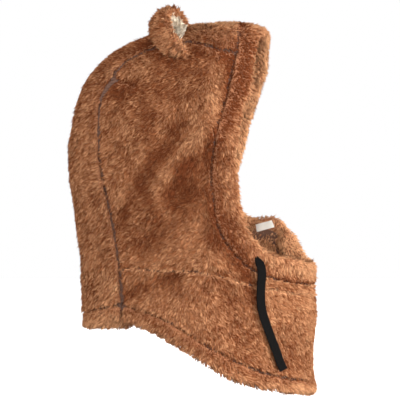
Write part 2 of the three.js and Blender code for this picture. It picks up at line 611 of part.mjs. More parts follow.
// Free end of the elastic tape. It leaves the casing at a slit by the chin and hangs down
// over the bib. proud is how far it lies off the form, as a share of the casing's thickness.
const tapeRoutes = {
  right: [
    { ahead: 0.753, up: 0.374, proud: 0.0 }, { ahead: 0.758, up: 0.362, proud: 0.2 },
    { ahead: 0.762, up: 0.35, proud: 0.45 }, { ahead: 0.765, up: 0.336, proud: 0.6 },
    { ahead: 0.766, up: 0.316, proud: 0.58 }, { ahead: 0.766, up: 0.292, proud: 0.5 },
    { ahead: 0.767, up: 0.265, proud: 0.45 }, { ahead: 0.771, up: 0.238, proud: 0.43 },
    { ahead: 0.779, up: 0.212, proud: 0.42 }, { ahead: 0.79, up: 0.187, proud: 0.42 },
    { ahead: 0.802, up: 0.163, proud: 0.42 }, { ahead: 0.814, up: 0.14, proud: 0.42 },
    { ahead: 0.827, up: 0.118, proud: 0.42 }, { ahead: 0.84, up: 0.095, proud: 0.43 },
    { ahead: 0.855, up: 0.072, proud: 0.43 },
  ],
  left: [
    { ahead: 0.9, up: 0.375, proud: 0.0 }, { ahead: 0.9, up: 0.362, proud: 0.2 },
    { ahead: 0.9, up: 0.35, proud: 0.45 }, { ahead: 0.9, up: 0.336, proud: 0.62 },
    { ahead: 0.9, up: 0.316, proud: 0.6 }, { ahead: 0.9, up: 0.292, proud: 0.52 },
    { ahead: 0.901, up: 0.265, proud: 0.48 }, { ahead: 0.903, up: 0.238, proud: 0.46 },
    { ahead: 0.906, up: 0.212, proud: 0.46 }, { ahead: 0.909, up: 0.187, proud: 0.46 },
    { ahead: 0.912, up: 0.163, proud: 0.46 }, { ahead: 0.915, up: 0.14, proud: 0.46 },
    { ahead: 0.918, up: 0.118, proud: 0.46 }, { ahead: 0.921, up: 0.095, proud: 0.46 },
    { ahead: 0.924, up: 0.072, proud: 0.46 },
  ],
};
const tapeTurn = { right: 22, left: -30 }; // degrees by which its face follows the bib's side
const tapeSteps = 20;

function tapePoint(row, side) {
  const here = onForm({ ahead: row.ahead, up: row.up }, side);
  const ahead = onForm({ ahead: row.ahead + 0.01, up: row.up }, side).sub(here);
  const outwards = new THREE.Vector3(-side * ahead.y, side * ahead.x, 0).normalize();
  return here.addScaledVector(outwards, row.proud * casingThickness);
}

function tapeSolid(suffix, side, grow) {
  const points = tapeRoutes[suffix].map((row) => tapePoint(row, side));
  const start = points[0].clone().sub(points[1]).setLength(grow);
  if (grow > 0) points.unshift(points[0].clone().add(start));
  const halfWidth = tapeWidth / 2 + grow;
  const halfThick = tapeThickness / 2 + grow;
  const turn = THREE.MathUtils.degToRad(tapeTurn[suffix]);
  const corners = [[1, 0.5], [0.9, 1], [-0.9, 1], [-1, 0.5], [-1, -0.5], [-0.9, -1], [0.9, -1], [1, -0.5]];
  const outline = corners.map(([wide, thick]) => new THREE.Vector2(thick * halfThick, wide * halfWidth)
    .rotateAround(new THREE.Vector2(), turn));
  const path = new THREE.CatmullRomCurve3(points, false, 'centripetal');
  return solidOf(new THREE.ExtrudeGeometry(new THREE.Shape(outline), { steps: tapeSteps, extrudePath: path }));
}

// Woven label, sewn into the casing's inner stitch line on the left and lying on its face
const labelSteps = 3;
const labelRise = 0.1; // start of the label off the seam, as a share of the casing's width

function addLabel() {
  const curves = bandCurves(casingStations, true);
  const middle = casingStations.findIndex((station) => station.label) / casingStations.length;
  const speed = curves.seam.getPoint(middle + 0.005).distanceTo(curves.seam.getPoint(middle - 0.005)) / 0.01;
  const rings = [];
  for (let k = 0; k <= labelSteps; k += 1) {
    const frame = bandFrame(curves, middle + (k / labelSteps - 0.5) * labelWidth / speed);
    const row = (j, rise) => {
      const across = labelRise + (j / labelSteps) * labelHeight / frame.width;
      const lift = halfThickness(across, casingThickness) + 2 * seamGap + rise;
      return bandPoint(frame, across, lift);
    };
    const ring = [];
    for (let j = 0; j <= labelSteps; j += 1) ring.push(row(j, 0));
    for (let j = labelSteps; j >= 0; j -= 1) ring.push(row(j, labelThickness));
    rings.push(ring);
  }
  hood.add(meshOfSolid('label', solidOf(meshOfRings(rings)), labelWeave));
}

function addCasing() {
  const casing = solidOf(bandGeometry(casingStations, casingThickness, true))
    .subtract(tapeSolid('right', -1, seamGap)).subtract(tapeSolid('left', 1, seamGap));
  hood.add(meshOfSolid('face_casing', casing, brownPlush));
}

function addHem(name, stations) {
  hood.add(meshOfSolid(name, solidOf(bandGeometry(stations, hemThickness, false)), brownPlush));
}

addCentrePanel();
addSidePanel('side_panel_right', 'right', -1);
addSidePanel('side_panel_left', 'left', 1);
addCasing();
addNeckBib();
addHem('bib_hem', bibHemStations);
addHem('nape_hem', napeHemStations);
addEar('right', -1);
addEar('left', 1);
hood.add(meshOfSolid('drawcord_right', tapeSolid('right', -1, 0), blackElastic));
hood.add(meshOfSolid('drawcord_left', tapeSolid('left', 1, 0), blackElastic));
addLabel();

export default group;
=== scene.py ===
import math

import bmesh
import bpy
import numpy as np
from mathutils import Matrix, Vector, noise
from mathutils.bvhtree import BVHTree


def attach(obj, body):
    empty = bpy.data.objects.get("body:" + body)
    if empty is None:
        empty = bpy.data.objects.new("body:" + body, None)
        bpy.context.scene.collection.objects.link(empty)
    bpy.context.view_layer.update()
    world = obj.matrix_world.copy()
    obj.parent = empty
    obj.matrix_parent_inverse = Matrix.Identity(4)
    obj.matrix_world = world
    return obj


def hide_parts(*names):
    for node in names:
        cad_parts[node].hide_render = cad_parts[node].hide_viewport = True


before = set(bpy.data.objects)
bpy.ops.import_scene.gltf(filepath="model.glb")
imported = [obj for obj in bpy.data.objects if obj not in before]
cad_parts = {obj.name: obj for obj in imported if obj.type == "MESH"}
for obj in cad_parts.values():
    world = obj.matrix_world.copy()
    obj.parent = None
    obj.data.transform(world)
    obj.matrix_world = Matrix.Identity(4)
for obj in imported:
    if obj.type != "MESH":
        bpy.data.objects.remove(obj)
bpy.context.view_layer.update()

# Camera: it stands level with the lower cheek, far enough off to flatten the view, and
# looks square at the wearer's right side of the hood.
camera_data = bpy.data.cameras.new("camera")
camera_data.sensor_width = 36
camera_data.lens = 216.7
camera = bpy.data.objects.new("camera", camera_data)
camera.location = (-2.6, 0.0223, -0.1864)
camera.rotation_euler = (math.radians(90), 0, math.radians(-90))
bpy.context.scene.collection.objects.link(camera)
bpy.context.scene.camera = camera

# Studio: a plain pale floor below the hood, which is held up as a head holds it, and broad
# soft lamps. The main one stands in front of the face and a little to the camera's side.
floor_mesh = bpy.data.meshes.new("floor")
floor_reach = 6.0
floor_level = -0.47
floor_corners = [
    (x * floor_reach, y * floor_reach, floor_level) for x, y in ((-1, -1), (1, -1), (1, 1), (-1, 1))]
floor_mesh.from_pydata(floor_corners, [], [(0, 1, 2, 3)])
floor = bpy.data.objects.new("floor", floor_mesh)
bpy.context.scene.collection.objects.link(floor)
floor_paint = bpy.data.materials.new("floor_paint")
floor_paint.use_nodes = True
floor_shader = floor_paint.node_tree.nodes["Principled BSDF"]
floor_shader.inputs["Base Color"].default_value = (0.92, 0.92, 0.92, 1)
floor_shader.inputs["Roughness"].default_value = 0.9
floor_shader.inputs["Emission Color"].default_value = (1, 1, 1, 1)
floor_shader.inputs["Emission Strength"].default_value = 0.8
floor_mesh.materials.append(floor_paint)
floor.visible_diffuse = False

for name, place, size, power in (
    ("front_lamp", (-1.35, -2.1, 0.0), 1.3, 98),
    ("side_lamp", (-2.6, -0.3, 0.15), 2.4, 54),
    ("far_lamp", (2.5, -0.7, 0.5), 1.8, 54),
    ("top_lamp", (-0.5, 0.1, 1.9), 1.5, 12),
    ("rear_lamp", (-0.9, 2.3, 0.3), 1.6, 38),
):
    lamp = bpy.data.lights.new(name, "AREA")
    lamp.shape = "DISK"
    lamp.size = size
    lamp.energy = power
    stand = bpy.data.objects.new(name, lamp)
    stand.location = place
    aim = Vector((0, 0, -0.18)) - stand.location
    stand.rotation_euler = aim.to_track_quat("-Z", "Y").to_euler()
    bpy.context.scene.collection.objects.link(stand)

world = bpy.data.worlds.new("studio")
world.use_nodes = True
bpy.context.scene.world = world
sky = world.node_tree
sky.nodes["Background"].inputs["Color"].default_value = (1, 1, 1, 1)
sky.nodes["Background"].inputs["Strength"].default_value = 0.36
backdrop = sky.nodes.new("ShaderNodeBackground")
backdrop.inputs["Color"].default_value = (1, 1, 1, 1)
backdrop.inputs["Strength"].default_value = 1.0
seen = sky.nodes.new("ShaderNodeLightPath")
choose = sky.nodes.new("ShaderNodeMixShader")
sky.links.new(seen.outputs["Is Camera Ray"], choose.inputs["Fac"])
sky.links.new(sky.nodes["Background"].outputs["Background"], choose.inputs[1])
sky.links.new(backdrop.outputs["Background"], choose.inputs[2])
sky.links.new(choose.outputs["Shader"], sky.nodes["World Output"].inputs["Surface"])
bpy.context.scene.view_settings.view_transform = "Standard"

# Drawcord: one flat black elastic tape runs in the casing round the face, and its two ends
# come out of slits beside the chin and hang over the bib. They follow the hood's own form,
# so its level sections and cheek folds come first, from the crown down.
hood_height, hood_depth, hood_width = 0.398, 0.266, 0.16
cloth_wall = 0.004
casing_thickness = 0.0115
fold_height = 0.0055
seat_ahead = 0.62
UP, BACK, FRONT, HALF = range(4)
sections = np.array([
    (1.0, 0.568, 0.7, 0.0), (0.9988, 0.544, 0.732, 0.17), (0.9955, 0.504, 0.757, 0.31),
    (0.989, 0.44, 0.785, 0.44), (0.978, 0.376, 0.815, 0.555), (0.962, 0.308, 0.844, 0.655),
    (0.938, 0.228, 0.876, 0.745), (0.906, 0.158, 0.904, 0.822), (0.863, 0.098, 0.932, 0.888),
    (0.809, 0.052, 0.958, 0.942), (0.745, 0.024, 0.98, 0.98), (0.667, 0.004, 0.996, 1.0),
    (0.586, 0.006, 1.0, 0.994), (0.505, 0.026, 1.0, 0.97), (0.425, 0.042, 1.0, 0.938),
    (0.355, 0.052, 0.998, 0.913), (0.293, 0.056, 0.996, 0.92), (0.226, 0.064, 1.004, 0.963),
    (0.159, 0.072, 1.002, 1.02), (0.078, 0.08, 0.996, 1.085), (-0.011, 0.088, 1.004, 1.15),
])
widest_at, front_roundness = 0.5, 1.9
# Each fold: ahead and up of its start and its end, height and spread
folds = (
    (0.6, 0.87, 0.56, 0.7, 0.75, 0.075), (0.56, 0.7, 0.42, 0.6, 0.85, 0.06),
    (0.57, 0.62, 0.46, 0.56, -1.0, 0.06), (0.46, 0.55, 0.31, 0.39, -0.95, 0.055),
    (0.45, 0.72, 0.3, 0.57, -0.7, 0.055), (0.3, 0.57, 0.2, 0.47, -0.75, 0.06),
    (0.37, 0.57, 0.36, 0.48, 0.5, 0.05), (0.2, 0.81, 0.44, 0.82, -0.6, 0.05),
    (0.24, 0.87, 0.4, 0.88, 0.45, 0.05), (0.32, 0.345, 0.6, 0.36, 0.55, 0.045),
    (0.22, 0.26, 0.45, 0.31, -0.75, 0.04), (0.3, 0.25, 0.55, 0.2, 0.6, 0.055),
    (0.66, 0.25, 0.72, 0.1, -0.5, 0.06),
)


def section_value(column, place):
    place = np.asarray(place, float)
    index = np.clip(np.floor(place).astype(int), 0, len(sections) - 2)
    share = place - index
    before, start, end, after = (
        sections[np.clip(index + k, 0, len(sections) - 1), column] for k in (-1, 0, 1, 2))
    bend = 2 * before - 5 * start + 4 * end - after
    twist = 3 * (start - end) + after - before
    return start + 0.5 * share * (end - before + share * (bend + share * twist))


def fold_bulge(ahead, up):
    ahead, up = np.broadcast_arrays(ahead, up)
    here = np.stack([ahead * hood_depth, up * hood_height], -1)
    bulge = np.zeros(ahead.shape)
    for from_ahead, from_up, to_ahead, to_up, height, spread in folds:
        start = np.array([from_ahead * hood_depth, from_up * hood_height])
        run = np.array([to_ahead * hood_depth, to_up * hood_height]) - start
        along = np.clip((here - start) @ run / (run @ run), 0, 1)
        away = np.linalg.norm(here - start - along[..., None] * run, axis=-1)
        bulge = bulge + height * fold_height * np.exp(-((away / (spread * hood_depth)) ** 2))
    return bulge


def half_width(place, ahead):
    back, front = section_value(BACK, place), section_value(FRONT, place)
    along = np.clip((ahead - back) / (front - back), 0, 1)
    behind = along < widest_at
    roundness = np.where(behind, 2, front_roundness)
    offset = np.where(behind, 1 - along / widest_at, (along - widest_at) / (1 - widest_at))
    fullness = np.clip(1 - offset**roundness, 0, 1) ** (1 / roundness)
    half = section_value(HALF, place) * hood_width / 2
    room = np.minimum(1, half / (0.3 * hood_width))
    return fullness * (half + fold_bulge(ahead, section_value(UP, place)) * room)


def to_frame(out, ahead, up):
    out, ahead, up = np.broadcast_arrays(out, ahead, up)
    return np.stack(
        [out, (seat_ahead - ahead) * hood_depth, up * hood_height + cloth_wall - hood_height], -1)


fine_places = np.linspace(0, len(sections) - 1, 6001)


def on_form(ahead, up, side):
    place = np.interp(-np.asarray(up), -section_value(UP, fine_places), fine_places)
    return to_frame(side * half_width(place, np.asarray(ahead)), np.asarray(ahead), np.asarray(up))


def smooth_line(points, steps):
    """Centripetal curve through points, with that many steps from each one to the next"""
    points = np.asarray(points, float)
    padded = np.concatenate([[2 * points[0] - points[1]], points, [2 * points[-1] - points[-2]]])
    share = np.arange(steps)[:, None] / steps
    made = []
    for k in range(len(points) - 1):
        a, b, c, d = padded[k:k + 4]
        t1 = max(np.linalg.norm(b - a), 1e-9) ** 0.5
        t2 = t1 + max(np.linalg.norm(c - b), 1e-9) ** 0.5
        t3 = t2 + max(np.linalg.norm(d - c), 1e-9) ** 0.5
        at = t1 + (t2 - t1) * share
        ab = a + (b - a) * at / t1
        bc = b + (c - b) * (at - t1) / (t2 - t1)
        cd = c + (d - c) * (at - t2) / (t3 - t2)
        abc = ab + (bc - ab) * at / t2
        bcd = bc + (cd - bc) * (at - t1) / (t3 - t1)
        made.append(abc + (bcd - abc) * (at - t1) / (t2 - t1))
    return np.concatenate(made + [points[-1:]])


def unit(vectors):
    return vectors / np.maximum(np.linalg.norm(vectors, axis=-1, keepdims=True), 1e-12)


def mesh_piece(name, points, faces, finish=None):
    mesh = bpy.data.meshes.new(name)
    mesh.from_pydata([tuple(p) for p in points], [], faces)
    if finish:
        mesh.materials.append(finish)
    piece = bpy.data.objects.new(name, mesh)
    bpy.context.scene.collection.objects.link(piece)
    return piece


def body_of_rings(name, points, finish):
    """Closed body through rings of points, given as ring, corner and x, y, z"""
    count, size = points.shape[:2]
    faces = [
        (r * size + k, (r + 1) * size + k, (r + 1) * size + (k + 1) % size, r * size + (k + 1) % size)
        for r in range(count - 1) for k in range(size)
    ]
    faces.append(tuple(range(size)))
    faces.append(tuple(reversed(range((count - 1) * size, count * size))))
    piece = mesh_piece(name, points.reshape(-1, 3), faces, finish)
    shape = bmesh.new()
    shape.from_mesh(piece.data)
    bmesh.ops.recalc_face_normals(shape, faces=shape.faces)
    shape.to_mesh(piece.data)
    shape.free()
    return piece


black_elastic = bpy.data.materials.new("black_elastic")
black_elastic.use_nodes = True
elastic = black_elastic.node_tree
elastic_shader = elastic.nodes["Principled BSDF"]
elastic_shader.inputs["Roughness"].default_value = 0.9
elastic_shader.inputs["Specular IOR Level"].default_value = 0.08
elastic_place = elastic.nodes.new("ShaderNodeUVMap")
elastic_place.uv_map = "tape"
elastic_ribs = elastic.nodes.new("ShaderNodeTexWave")
elastic_ribs.bands_direction = "X"
elastic_ribs.inputs["Scale"].default_value = 280
elastic_ribs.inputs["Distortion"].default_value = 1.5
elastic_picks = elastic.nodes.new("ShaderNodeTexWave")
elastic_picks.bands_direction = "Y"
elastic_picks.inputs["Scale"].default_value = 420
elastic_weave = elastic.nodes.new("ShaderNodeMath")
elastic_weave.operation = "MULTIPLY"
elastic_colours = elastic.nodes.new("ShaderNodeValToRGB")
elastic_colours.color_ramp.elements[0].color = (0.002, 0.0018, 0.0018, 1)
elastic_colours.color_ramp.elements[1].color = (0.011, 0.009, 0.008, 1)
elastic_bump = elastic.nodes.new("ShaderNodeBump")
elastic_bump.inputs["Strength"].default_value = 0.6
elastic_bump.inputs["Distance"].default_value = 0.0003
for wave in (elastic_ribs, elastic_picks):
    elastic.links.new(elastic_place.outputs["UV"], wave.inputs["Vector"])
elastic.links.new(elastic_ribs.outputs["Fac"], elastic_weave.inputs[0])
elastic.links.new(elastic_picks.outputs["Fac"], elastic_weave.inputs[1])
elastic.links.new(elastic_weave.outputs[0], elastic_colours.inputs["Fac"])
elastic.links.new(elastic_colours.outputs["Color"], elastic_shader.inputs["Base Color"])
elastic.links.new(elastic_weave.outputs[0], elastic_bump.inputs["Height"])
elastic.links.new(elastic_bump.outputs["Normal"], elastic_shader.inputs["Normal"])

tape_width, tape_thickness = 0.0092, 0.0016
# Each route: ahead, up and how proud of the form, as a share of the casing's thickness
tape_routes = {
    "right": (
        (0.755, 0.376, 0.0), (0.762, 0.362, 0.2), (0.768, 0.35, 0.45), (0.771, 0.336, 0.6),
        (0.771, 0.316, 0.58), (0.77, 0.292, 0.5), (0.77, 0.265, 0.45), (0.773, 0.238, 0.43),
        (0.782, 0.212, 0.42), (0.794, 0.187, 0.42), (0.807, 0.163, 0.42), (0.819, 0.14, 0.42),
        (0.831, 0.118, 0.42), (0.842, 0.095, 0.43), (0.856, 0.072, 0.43),
    ),
    "left": (
        (0.9, 0.375, 0.0), (0.9, 0.362, 0.2), (0.9, 0.35, 0.45), (0.9, 0.336, 0.62),
        (0.9, 0.316, 0.6), (0.9, 0.292, 0.52), (0.901, 0.265, 0.48), (0.903, 0.238, 0.46),
        (0.906, 0.212, 0.46), (0.909, 0.187, 0.46), (0.912, 0.163, 0.46), (0.915, 0.14, 0.46),
        (0.918, 0.118, 0.46), (0.921, 0.095, 0.46), (0.924, 0.072, 0.46),
    ),
}
tape_edge = (
    (1, 0.45), (0.93, 0.9), (0.6, 1), (0.2, 0.94), (-0.2, 0.94), (-0.6, 1), (-0.93, 0.9), (-1, 0.45),
)
tape_section = tape_edge + tuple((wide, -thick) for wide, thick in reversed(tape_edge))
tape_exits, tape_lines = {}, {}
for key, side in (("right", -1), ("left", 1)):
    ahead, up, proud = np.array(tape_routes[key]).T
    here = on_form(ahead, up, side)
    forwards = on_form(ahead + 0.01, up, side) - here
    off = unit(np.stack([-side * forwards[:, 1], side * forwards[:, 0], 0 * ahead], -1))
    line = smooth_line(here + off * (proud * casing_thickness)[:, None], 6)
    # Hanging free, it turns its flat a little more to the side than the bib below it does
    face = unit(smooth_line(off + np.array([2.2 * side, 0, 0]) * np.clip(proud, 0, 1)[:, None], 6))
    along = unit(np.gradient(line, axis=0))
    across = unit(np.cross(along, face))
    face = np.cross(across, along)
    run = np.concatenate([[0], np.cumsum(np.linalg.norm(np.diff(line, axis=0), axis=1))])
    # The cut end is melted, so that it is a little wider and thicker for its last 2 mm
    melt = 1 + 0.1 * np.clip((run - run[-1] + 0.002) / 0.002, 0, 1)
    # It comes out of its slit folded up, and opens to its full width in the first 11 mm
    opened = 0.25 + 0.75 * np.clip(run / 0.011, 0, 1) ** 0.8
    rings = [
        line + across * (wide * tape_width / 2 * melt * opened)[:, None]
        + face * (thick * tape_thickness / 2 * melt**3)[:, None]
        for wide, thick in tape_section
    ]
    tape = body_of_rings(f"drawcord_{key}_tape", np.stack(rings, 1), black_elastic)
    weave = tape.data.uv_layers.new(name="tape")
    for loop in tape.data.loops:
        ring, corner = divmod(loop.vertex_index, len(tape_section))
        weave.data[loop.index].uv = (tape_section[corner][0] * tape_width / 2, run[ring])
    tape.data.shade_smooth()
    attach(tape, "root")
    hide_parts(f"drawcord_{key}")
    tape_exits[key], tape_lines[key] = line[:16], line

# Plush cloth: two-sided brown fleece, cut as a centre strip, two cheek panels and a bib
# and sewn edge to edge. A thin knitted ground lies halfway through the cloth. Its pile stands
# off the outer face, and off the inner face only in front, round the face opening.
form_places = np.concatenate([np.linspace(0, 6, 36, endpoint=False), np.linspace(6, 20, 150)])
form_corners = 180
turn = np.linspace(0, 2 * math.pi, form_corners, endpoint=False)
forward = -np.cos(turn)
form_reach = np.where(
    forward < 0, forward * widest_at,
    np.abs(forward) ** (2 / front_roundness) * (1 - widest_at))
form_rings = []
for place in form_places:
    back, front = section_value(BACK, place), section_value(FRONT, place)
    ring_ahead = back + (front - back) * (widest_at + form_reach)
    out = -np.sign(np.sin(turn)) * half_width(place, ring_ahead)
    form_rings.append(to_frame(out, ring_ahead, section_value(UP, place)))
form_points = np.concatenate(form_rings)
form_faces = []
for ring in range(0, (len(form_places) - 1) * form_corners, form_corners):
    for k in range(form_corners):
        after = (k + 1) % form_corners
        form_faces.append((ring + k, ring + after, ring + form_corners + after, ring + form_corners + k))
form_tree = BVHTree.FromPolygons([Vector(p) for p in form_points], form_faces)


def nearest_on_form(points):
    """For each point: its nearest point on the form and the outward normal there"""
    feet, normals = np.empty_like(points), np.empty_like(points)
    for k, point in enumerate(points):
        foot, normal, _, _ = form_tree.find_nearest(Vector(point))
        inner = Vector((0, foot.y * 0.6, min(max(foot.z, -0.36), -0.08)))
        if normal.dot(foot - inner) < 0:
            normal = -normal
        feet[k], normals[k] = foot, normal
    return feet, normals


def side_place(points):
    """ahead and up of points, as shares of the hood's depth and height"""
    ahead = seat_ahead - points[:, 1] / hood_depth
    up = (points[:, 2] + hood_height - cloth_wall) / hood_height
    return ahead, up


# Seam lines, as places of the side view: the crown seam from the casing to the nape, the
# neck seam, and the stitch lines of the casing, the bib's hem and the nape's hem
crown_seam = (
    (0.735, 0.917), (0.68, 0.916), (0.603, 0.923), (0.552, 0.936), (0.5, 0.943), (0.43, 0.938),
    (0.363, 0.928), (0.285, 0.91), (0.224, 0.885), (0.194, 0.856), (0.176, 0.83), (0.15, 0.805),
    (0.136, 0.77), (0.131, 0.71), (0.138, 0.63), (0.158, 0.55), (0.182, 0.475), (0.203, 0.4),
    (0.216, 0.336), (0.222, 0.28), (0.224, 0.246),
)
neck_seam = (
    (0.216, 0.336), (0.27, 0.341), (0.35, 0.338), (0.446, 0.336), (0.55, 0.33), (0.64, 0.317),
    (0.72, 0.3), (0.8, 0.288), (0.88, 0.277), (0.95, 0.272), (0.99, 0.272),
)
casing_seam = {
    "right": (
        (0.682, 0.915), (0.664, 0.86), (0.648, 0.817), (0.628, 0.77), (0.607, 0.722), (0.591, 0.665),
        (0.585, 0.61), (0.586, 0.558), (0.591, 0.508), (0.604, 0.457), (0.638, 0.412), (0.679, 0.375),
        (0.726, 0.345), (0.782, 0.325), (0.85, 0.31), (0.918, 0.301), (0.97, 0.297), (0.995, 0.295),
    ),
    "left": (
        (0.714, 0.92), (0.716, 0.874), (0.698, 0.815), (0.669, 0.77), (0.644, 0.725), (0.622, 0.674),
        (0.602, 0.628), (0.588, 0.575), (0.59, 0.522), (0.612, 0.472), (0.65, 0.438), (0.704, 0.426),
        (0.757, 0.424), (0.808, 0.426), (0.85, 0.415), (0.878, 0.385), (0.905, 0.35), (0.936, 0.322),
        (0.973, 0.302), (0.995, 0.295),
    ),
}
bib_hem_seam = (
    (0.226, 0.246), (0.275, 0.235), (0.342, 0.222), (0.418, 0.198), (0.5, 0.162), (0.586, 0.13),
    (0.675, 0.098), (0.768, 0.072), (0.862, 0.053), (0.936, 0.043), (0.982, 0.038), (0.996, 0.037),
)
# Strokes of painted shade and painted highlight, partly the nap's own tone: ahead and up of both ends, tone
# and spread
shade_and_nap_marks = (
    (0.208, 0.914, 0.336, 0.935, 0.5, 0.028), (0.31, 0.945, 0.42, 0.888, 0.9, 0.022),
    (0.184, 0.833, 0.224, 0.812, 0.5, 0.026), (0.44, 0.898, 0.536, 0.903, 0.5, 0.022),
    (0.6, 0.935, 0.632, 0.909, 0.8, 0.022), (0.584, 0.67, 0.472, 0.61, 0.7, 0.03),
    (0.472, 0.61, 0.376, 0.508, 0.35, 0.036), (0.336, 0.758, 0.424, 0.73, 0.3, 0.032),
    (0.336, 0.616, 0.384, 0.661, 0.5, 0.022), (0.464, 0.608, 0.496, 0.624, 0.35, 0.02),
    (0.556, 0.742, 0.584, 0.699, 0.5, 0.024), (0.564, 0.548, 0.584, 0.481, 0.3, 0.02),
    (0.715, 0.33, 0.74, 0.26, 1.0, 0.022), (0.584, 0.427, 0.664, 0.355, 0.4, 0.026),
    (0.208, 0.253, 0.336, 0.301, 0.45, 0.02), (0.336, 0.301, 0.448, 0.323, 0.3, 0.024),
    (0.304, 0.624, 0.192, 0.484, -0.45, 0.028), (0.596, 0.804, 0.556, 0.735, -0.2, 0.028),
    (0.556, 0.715, 0.448, 0.634, -0.2, 0.024), (0.42, 0.72, 0.455, 0.69, 0.45, 0.02),
    (0.37, 0.55, 0.41, 0.49, -0.55, 0.03), (0.236, 0.723, 0.268, 0.758, -0.35, 0.03),
    (0.384, 0.71, 0.416, 0.742, -0.3, 0.02), (0.196, 0.293, 0.204, 0.253, -0.6, 0.022),
    (0.904, 0.132, 0.896, 0.06, 0.4, 0.03), (0.92, 0.226, 0.928, 0.172, 0.3, 0.03),
    (0.16, 0.306, 0.16, 0.24, -0.3, 0.03), (0.6, 0.1, 0.74, 0.05, 0.3, 0.025),
    (0.7, 0.915, 0.688, 0.833, 1.3, 0.05), (0.676, 0.833, 0.636, 0.742, 0.9, 0.03),
    (0.25, 0.63, 0.27, 0.6, 0.4, 0.02), (0.3, 0.56, 0.345, 0.53, 0.4, 0.02),
    (0.37, 0.87, 0.56, 0.865, 0.55, 0.028), (0.44, 0.79, 0.47, 0.73, 0.35, 0.018),
    (0.215, 0.8, 0.25, 0.74, 0.3, 0.018), (0.36, 0.6, 0.41, 0.65, 0.35, 0.018),
    (0.37, 0.66, 0.44, 0.74, -0.3, 0.015), (0.42, 0.59, 0.46, 0.53, -0.4, 0.022),
    (0.54, 0.65, 0.58, 0.58, -0.35, 0.022), (0.7, 0.93, 0.78, 0.95, 0.4, 0.04),
    (0.54, 0.925, 0.66, 0.9, 0.7, 0.04), (0.5, 1.0, 0.78, 1.0, -0.9, 0.02),
    (0.6, 0.508, 0.696, 0.374, 0.4, 0.032),
)
# A crease runs forward from the crown seam, where the seam is gathered in over the back
crown_crease = (
    (0.135, 0.795), (0.155, 0.815), (0.178, 0.838), (0.205, 0.842), (0.24, 0.832), (0.275, 0.826),
)
nape_hem_seam = ((0.219, 0.243), (0.168, 0.238), (0.12, 0.229), (0.083, 0.222), (0.068, 0.22))


def seam_on_form(rows, side, steps=8):
    rows = smooth_line(rows, steps)
    return on_form(rows[:, 0], rows[:, 1], side)


def over_form(start, end, way):
    """Points on the form between two of its points, met from outside in that direction"""
    way = Vector(way)
    count = int(np.linalg.norm(end - start) / 0.001)
    marks = [Vector(start + (end - start) * k / count) for k in range(1, count)]
    return np.array([form_tree.ray_cast(mark - way * 0.15, way)[0] for mark in marks])


seam_lines = {
    f"crown_{key}": seam_on_form(crown_seam, side) for key, side in (("right", -1), ("left", 1))
}
for key, right_rows, left_rows, way in (
    ("neck", neck_seam, neck_seam, (0, 1, 0)),
    ("casing", casing_seam["right"], casing_seam["left"], (0, 1, 0)),
    ("bib_hem", bib_hem_seam, bib_hem_seam, (0, 1, 0)),
    ("nape_hem", nape_hem_seam, nape_hem_seam, (0, -1, 0)),
):
    right, left = seam_on_form(right_rows, -1), seam_on_form(left_rows, 1)[::-1]
    parts = [right, over_form(right[-1], left[0], way), left]
    if key == "casing":
        parts += [over_form(left[-1], right[0], (0, 0, -1)), right[:1]]
    seam_lines[key] = np.concatenate(parts)
crown_points = np.concatenate([seam_lines["crown_right"], seam_lines["crown_left"]])
sewn_points = np.concatenate([seam_lines[key] for key in ("casing", "bib_hem", "nape_hem")])
neck_points = seam_lines["neck"]
crease_points = np.concatenate([seam_on_form(crown_crease, side) for side in (-1, 1)])
lining_points = np.concatenate([
    np.array([corner.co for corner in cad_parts[node].data.vertices])
    for node in ("ear_lining_right", "ear_lining_left")])


# Tone of the strokes: painted shade where it is positive, painted highlight where it is negative
def shade_and_nap(ahead, up):
    here = np.stack([ahead * hood_depth, up * hood_height], -1)
    tone = np.zeros(len(here))
    for from_ahead, from_up, to_ahead, to_up, strength, spread in shade_and_nap_marks:
        start = np.array([from_ahead * hood_depth, from_up * hood_height])
        run = np.array([to_ahead * hood_depth, to_up * hood_height]) - start
        along = np.clip((here - start) @ run / (run @ run), 0, 1)
        away = np.linalg.norm(here - start - along[:, None] * run, axis=1)
        tone += strength * np.exp(-((away / (spread * hood_depth)) ** 2))
    return tone


def distance_to(points, marks):
    nearest = np.full(len(points), 1e9)
    for start in range(0, len(marks), 64):
        gaps = points[:, None, :] - marks[None, start:start + 64, :]
        nearest = np.minimum(nearest, np.einsum("ijk,ijk->ij", gaps, gaps).min(1))
    return np.sqrt(nearest)


def rise(value, start, end):
    share = np.clip((value - start) / (end - start), 0, 1)
    return share * share * (3 - 2 * share)


# The same start for each run's smooth noise, which lays the pile and dents the cloth
noise.seed_set(8)


def drift(points, size, shift=0.0):
    """Smooth random directions that change over that size"""
    return np.array([noise.noise_vector(Vector(p) / size + Vector((shift, 0, 0))) for p in points])


def ground_of(node, voxel, smoothing):
    """The knitted ground of a CAD node's piece, before it is drawn in from its surface"""
    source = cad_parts[node].data.copy()
    source.materials.clear()
    shape = bmesh.new()
    shape.from_mesh(source)
    bmesh.ops.remove_doubles(shape, verts=shape.verts, dist=1e-5)
    shape.to_mesh(source)
    shape.free()
    piece = bpy.data.objects.new(node + "_cloth", source)
    bpy.context.scene.collection.objects.link(piece)
    remesh = piece.modifiers.new("remesh", "REMESH")
    remesh.mode = "VOXEL"
    remesh.voxel_size = voxel
    ease = piece.modifiers.new("ease", "SMOOTH")
    ease.factor = 0.5
    ease.iterations = smoothing
    made = bpy.data.meshes.new_from_object(piece.evaluated_get(bpy.context.evaluated_depsgraph_get()))
    piece.modifiers.clear()
    piece.data = made
    made.name = node + "_cloth"
    bpy.data.meshes.remove(source)
    return piece


def points_of(mesh):
    points = np.empty(len(mesh.vertices) * 3, np.float32)
    mesh.vertices.foreach_get("co", points)
    return points.reshape(-1, 3).astype(float)


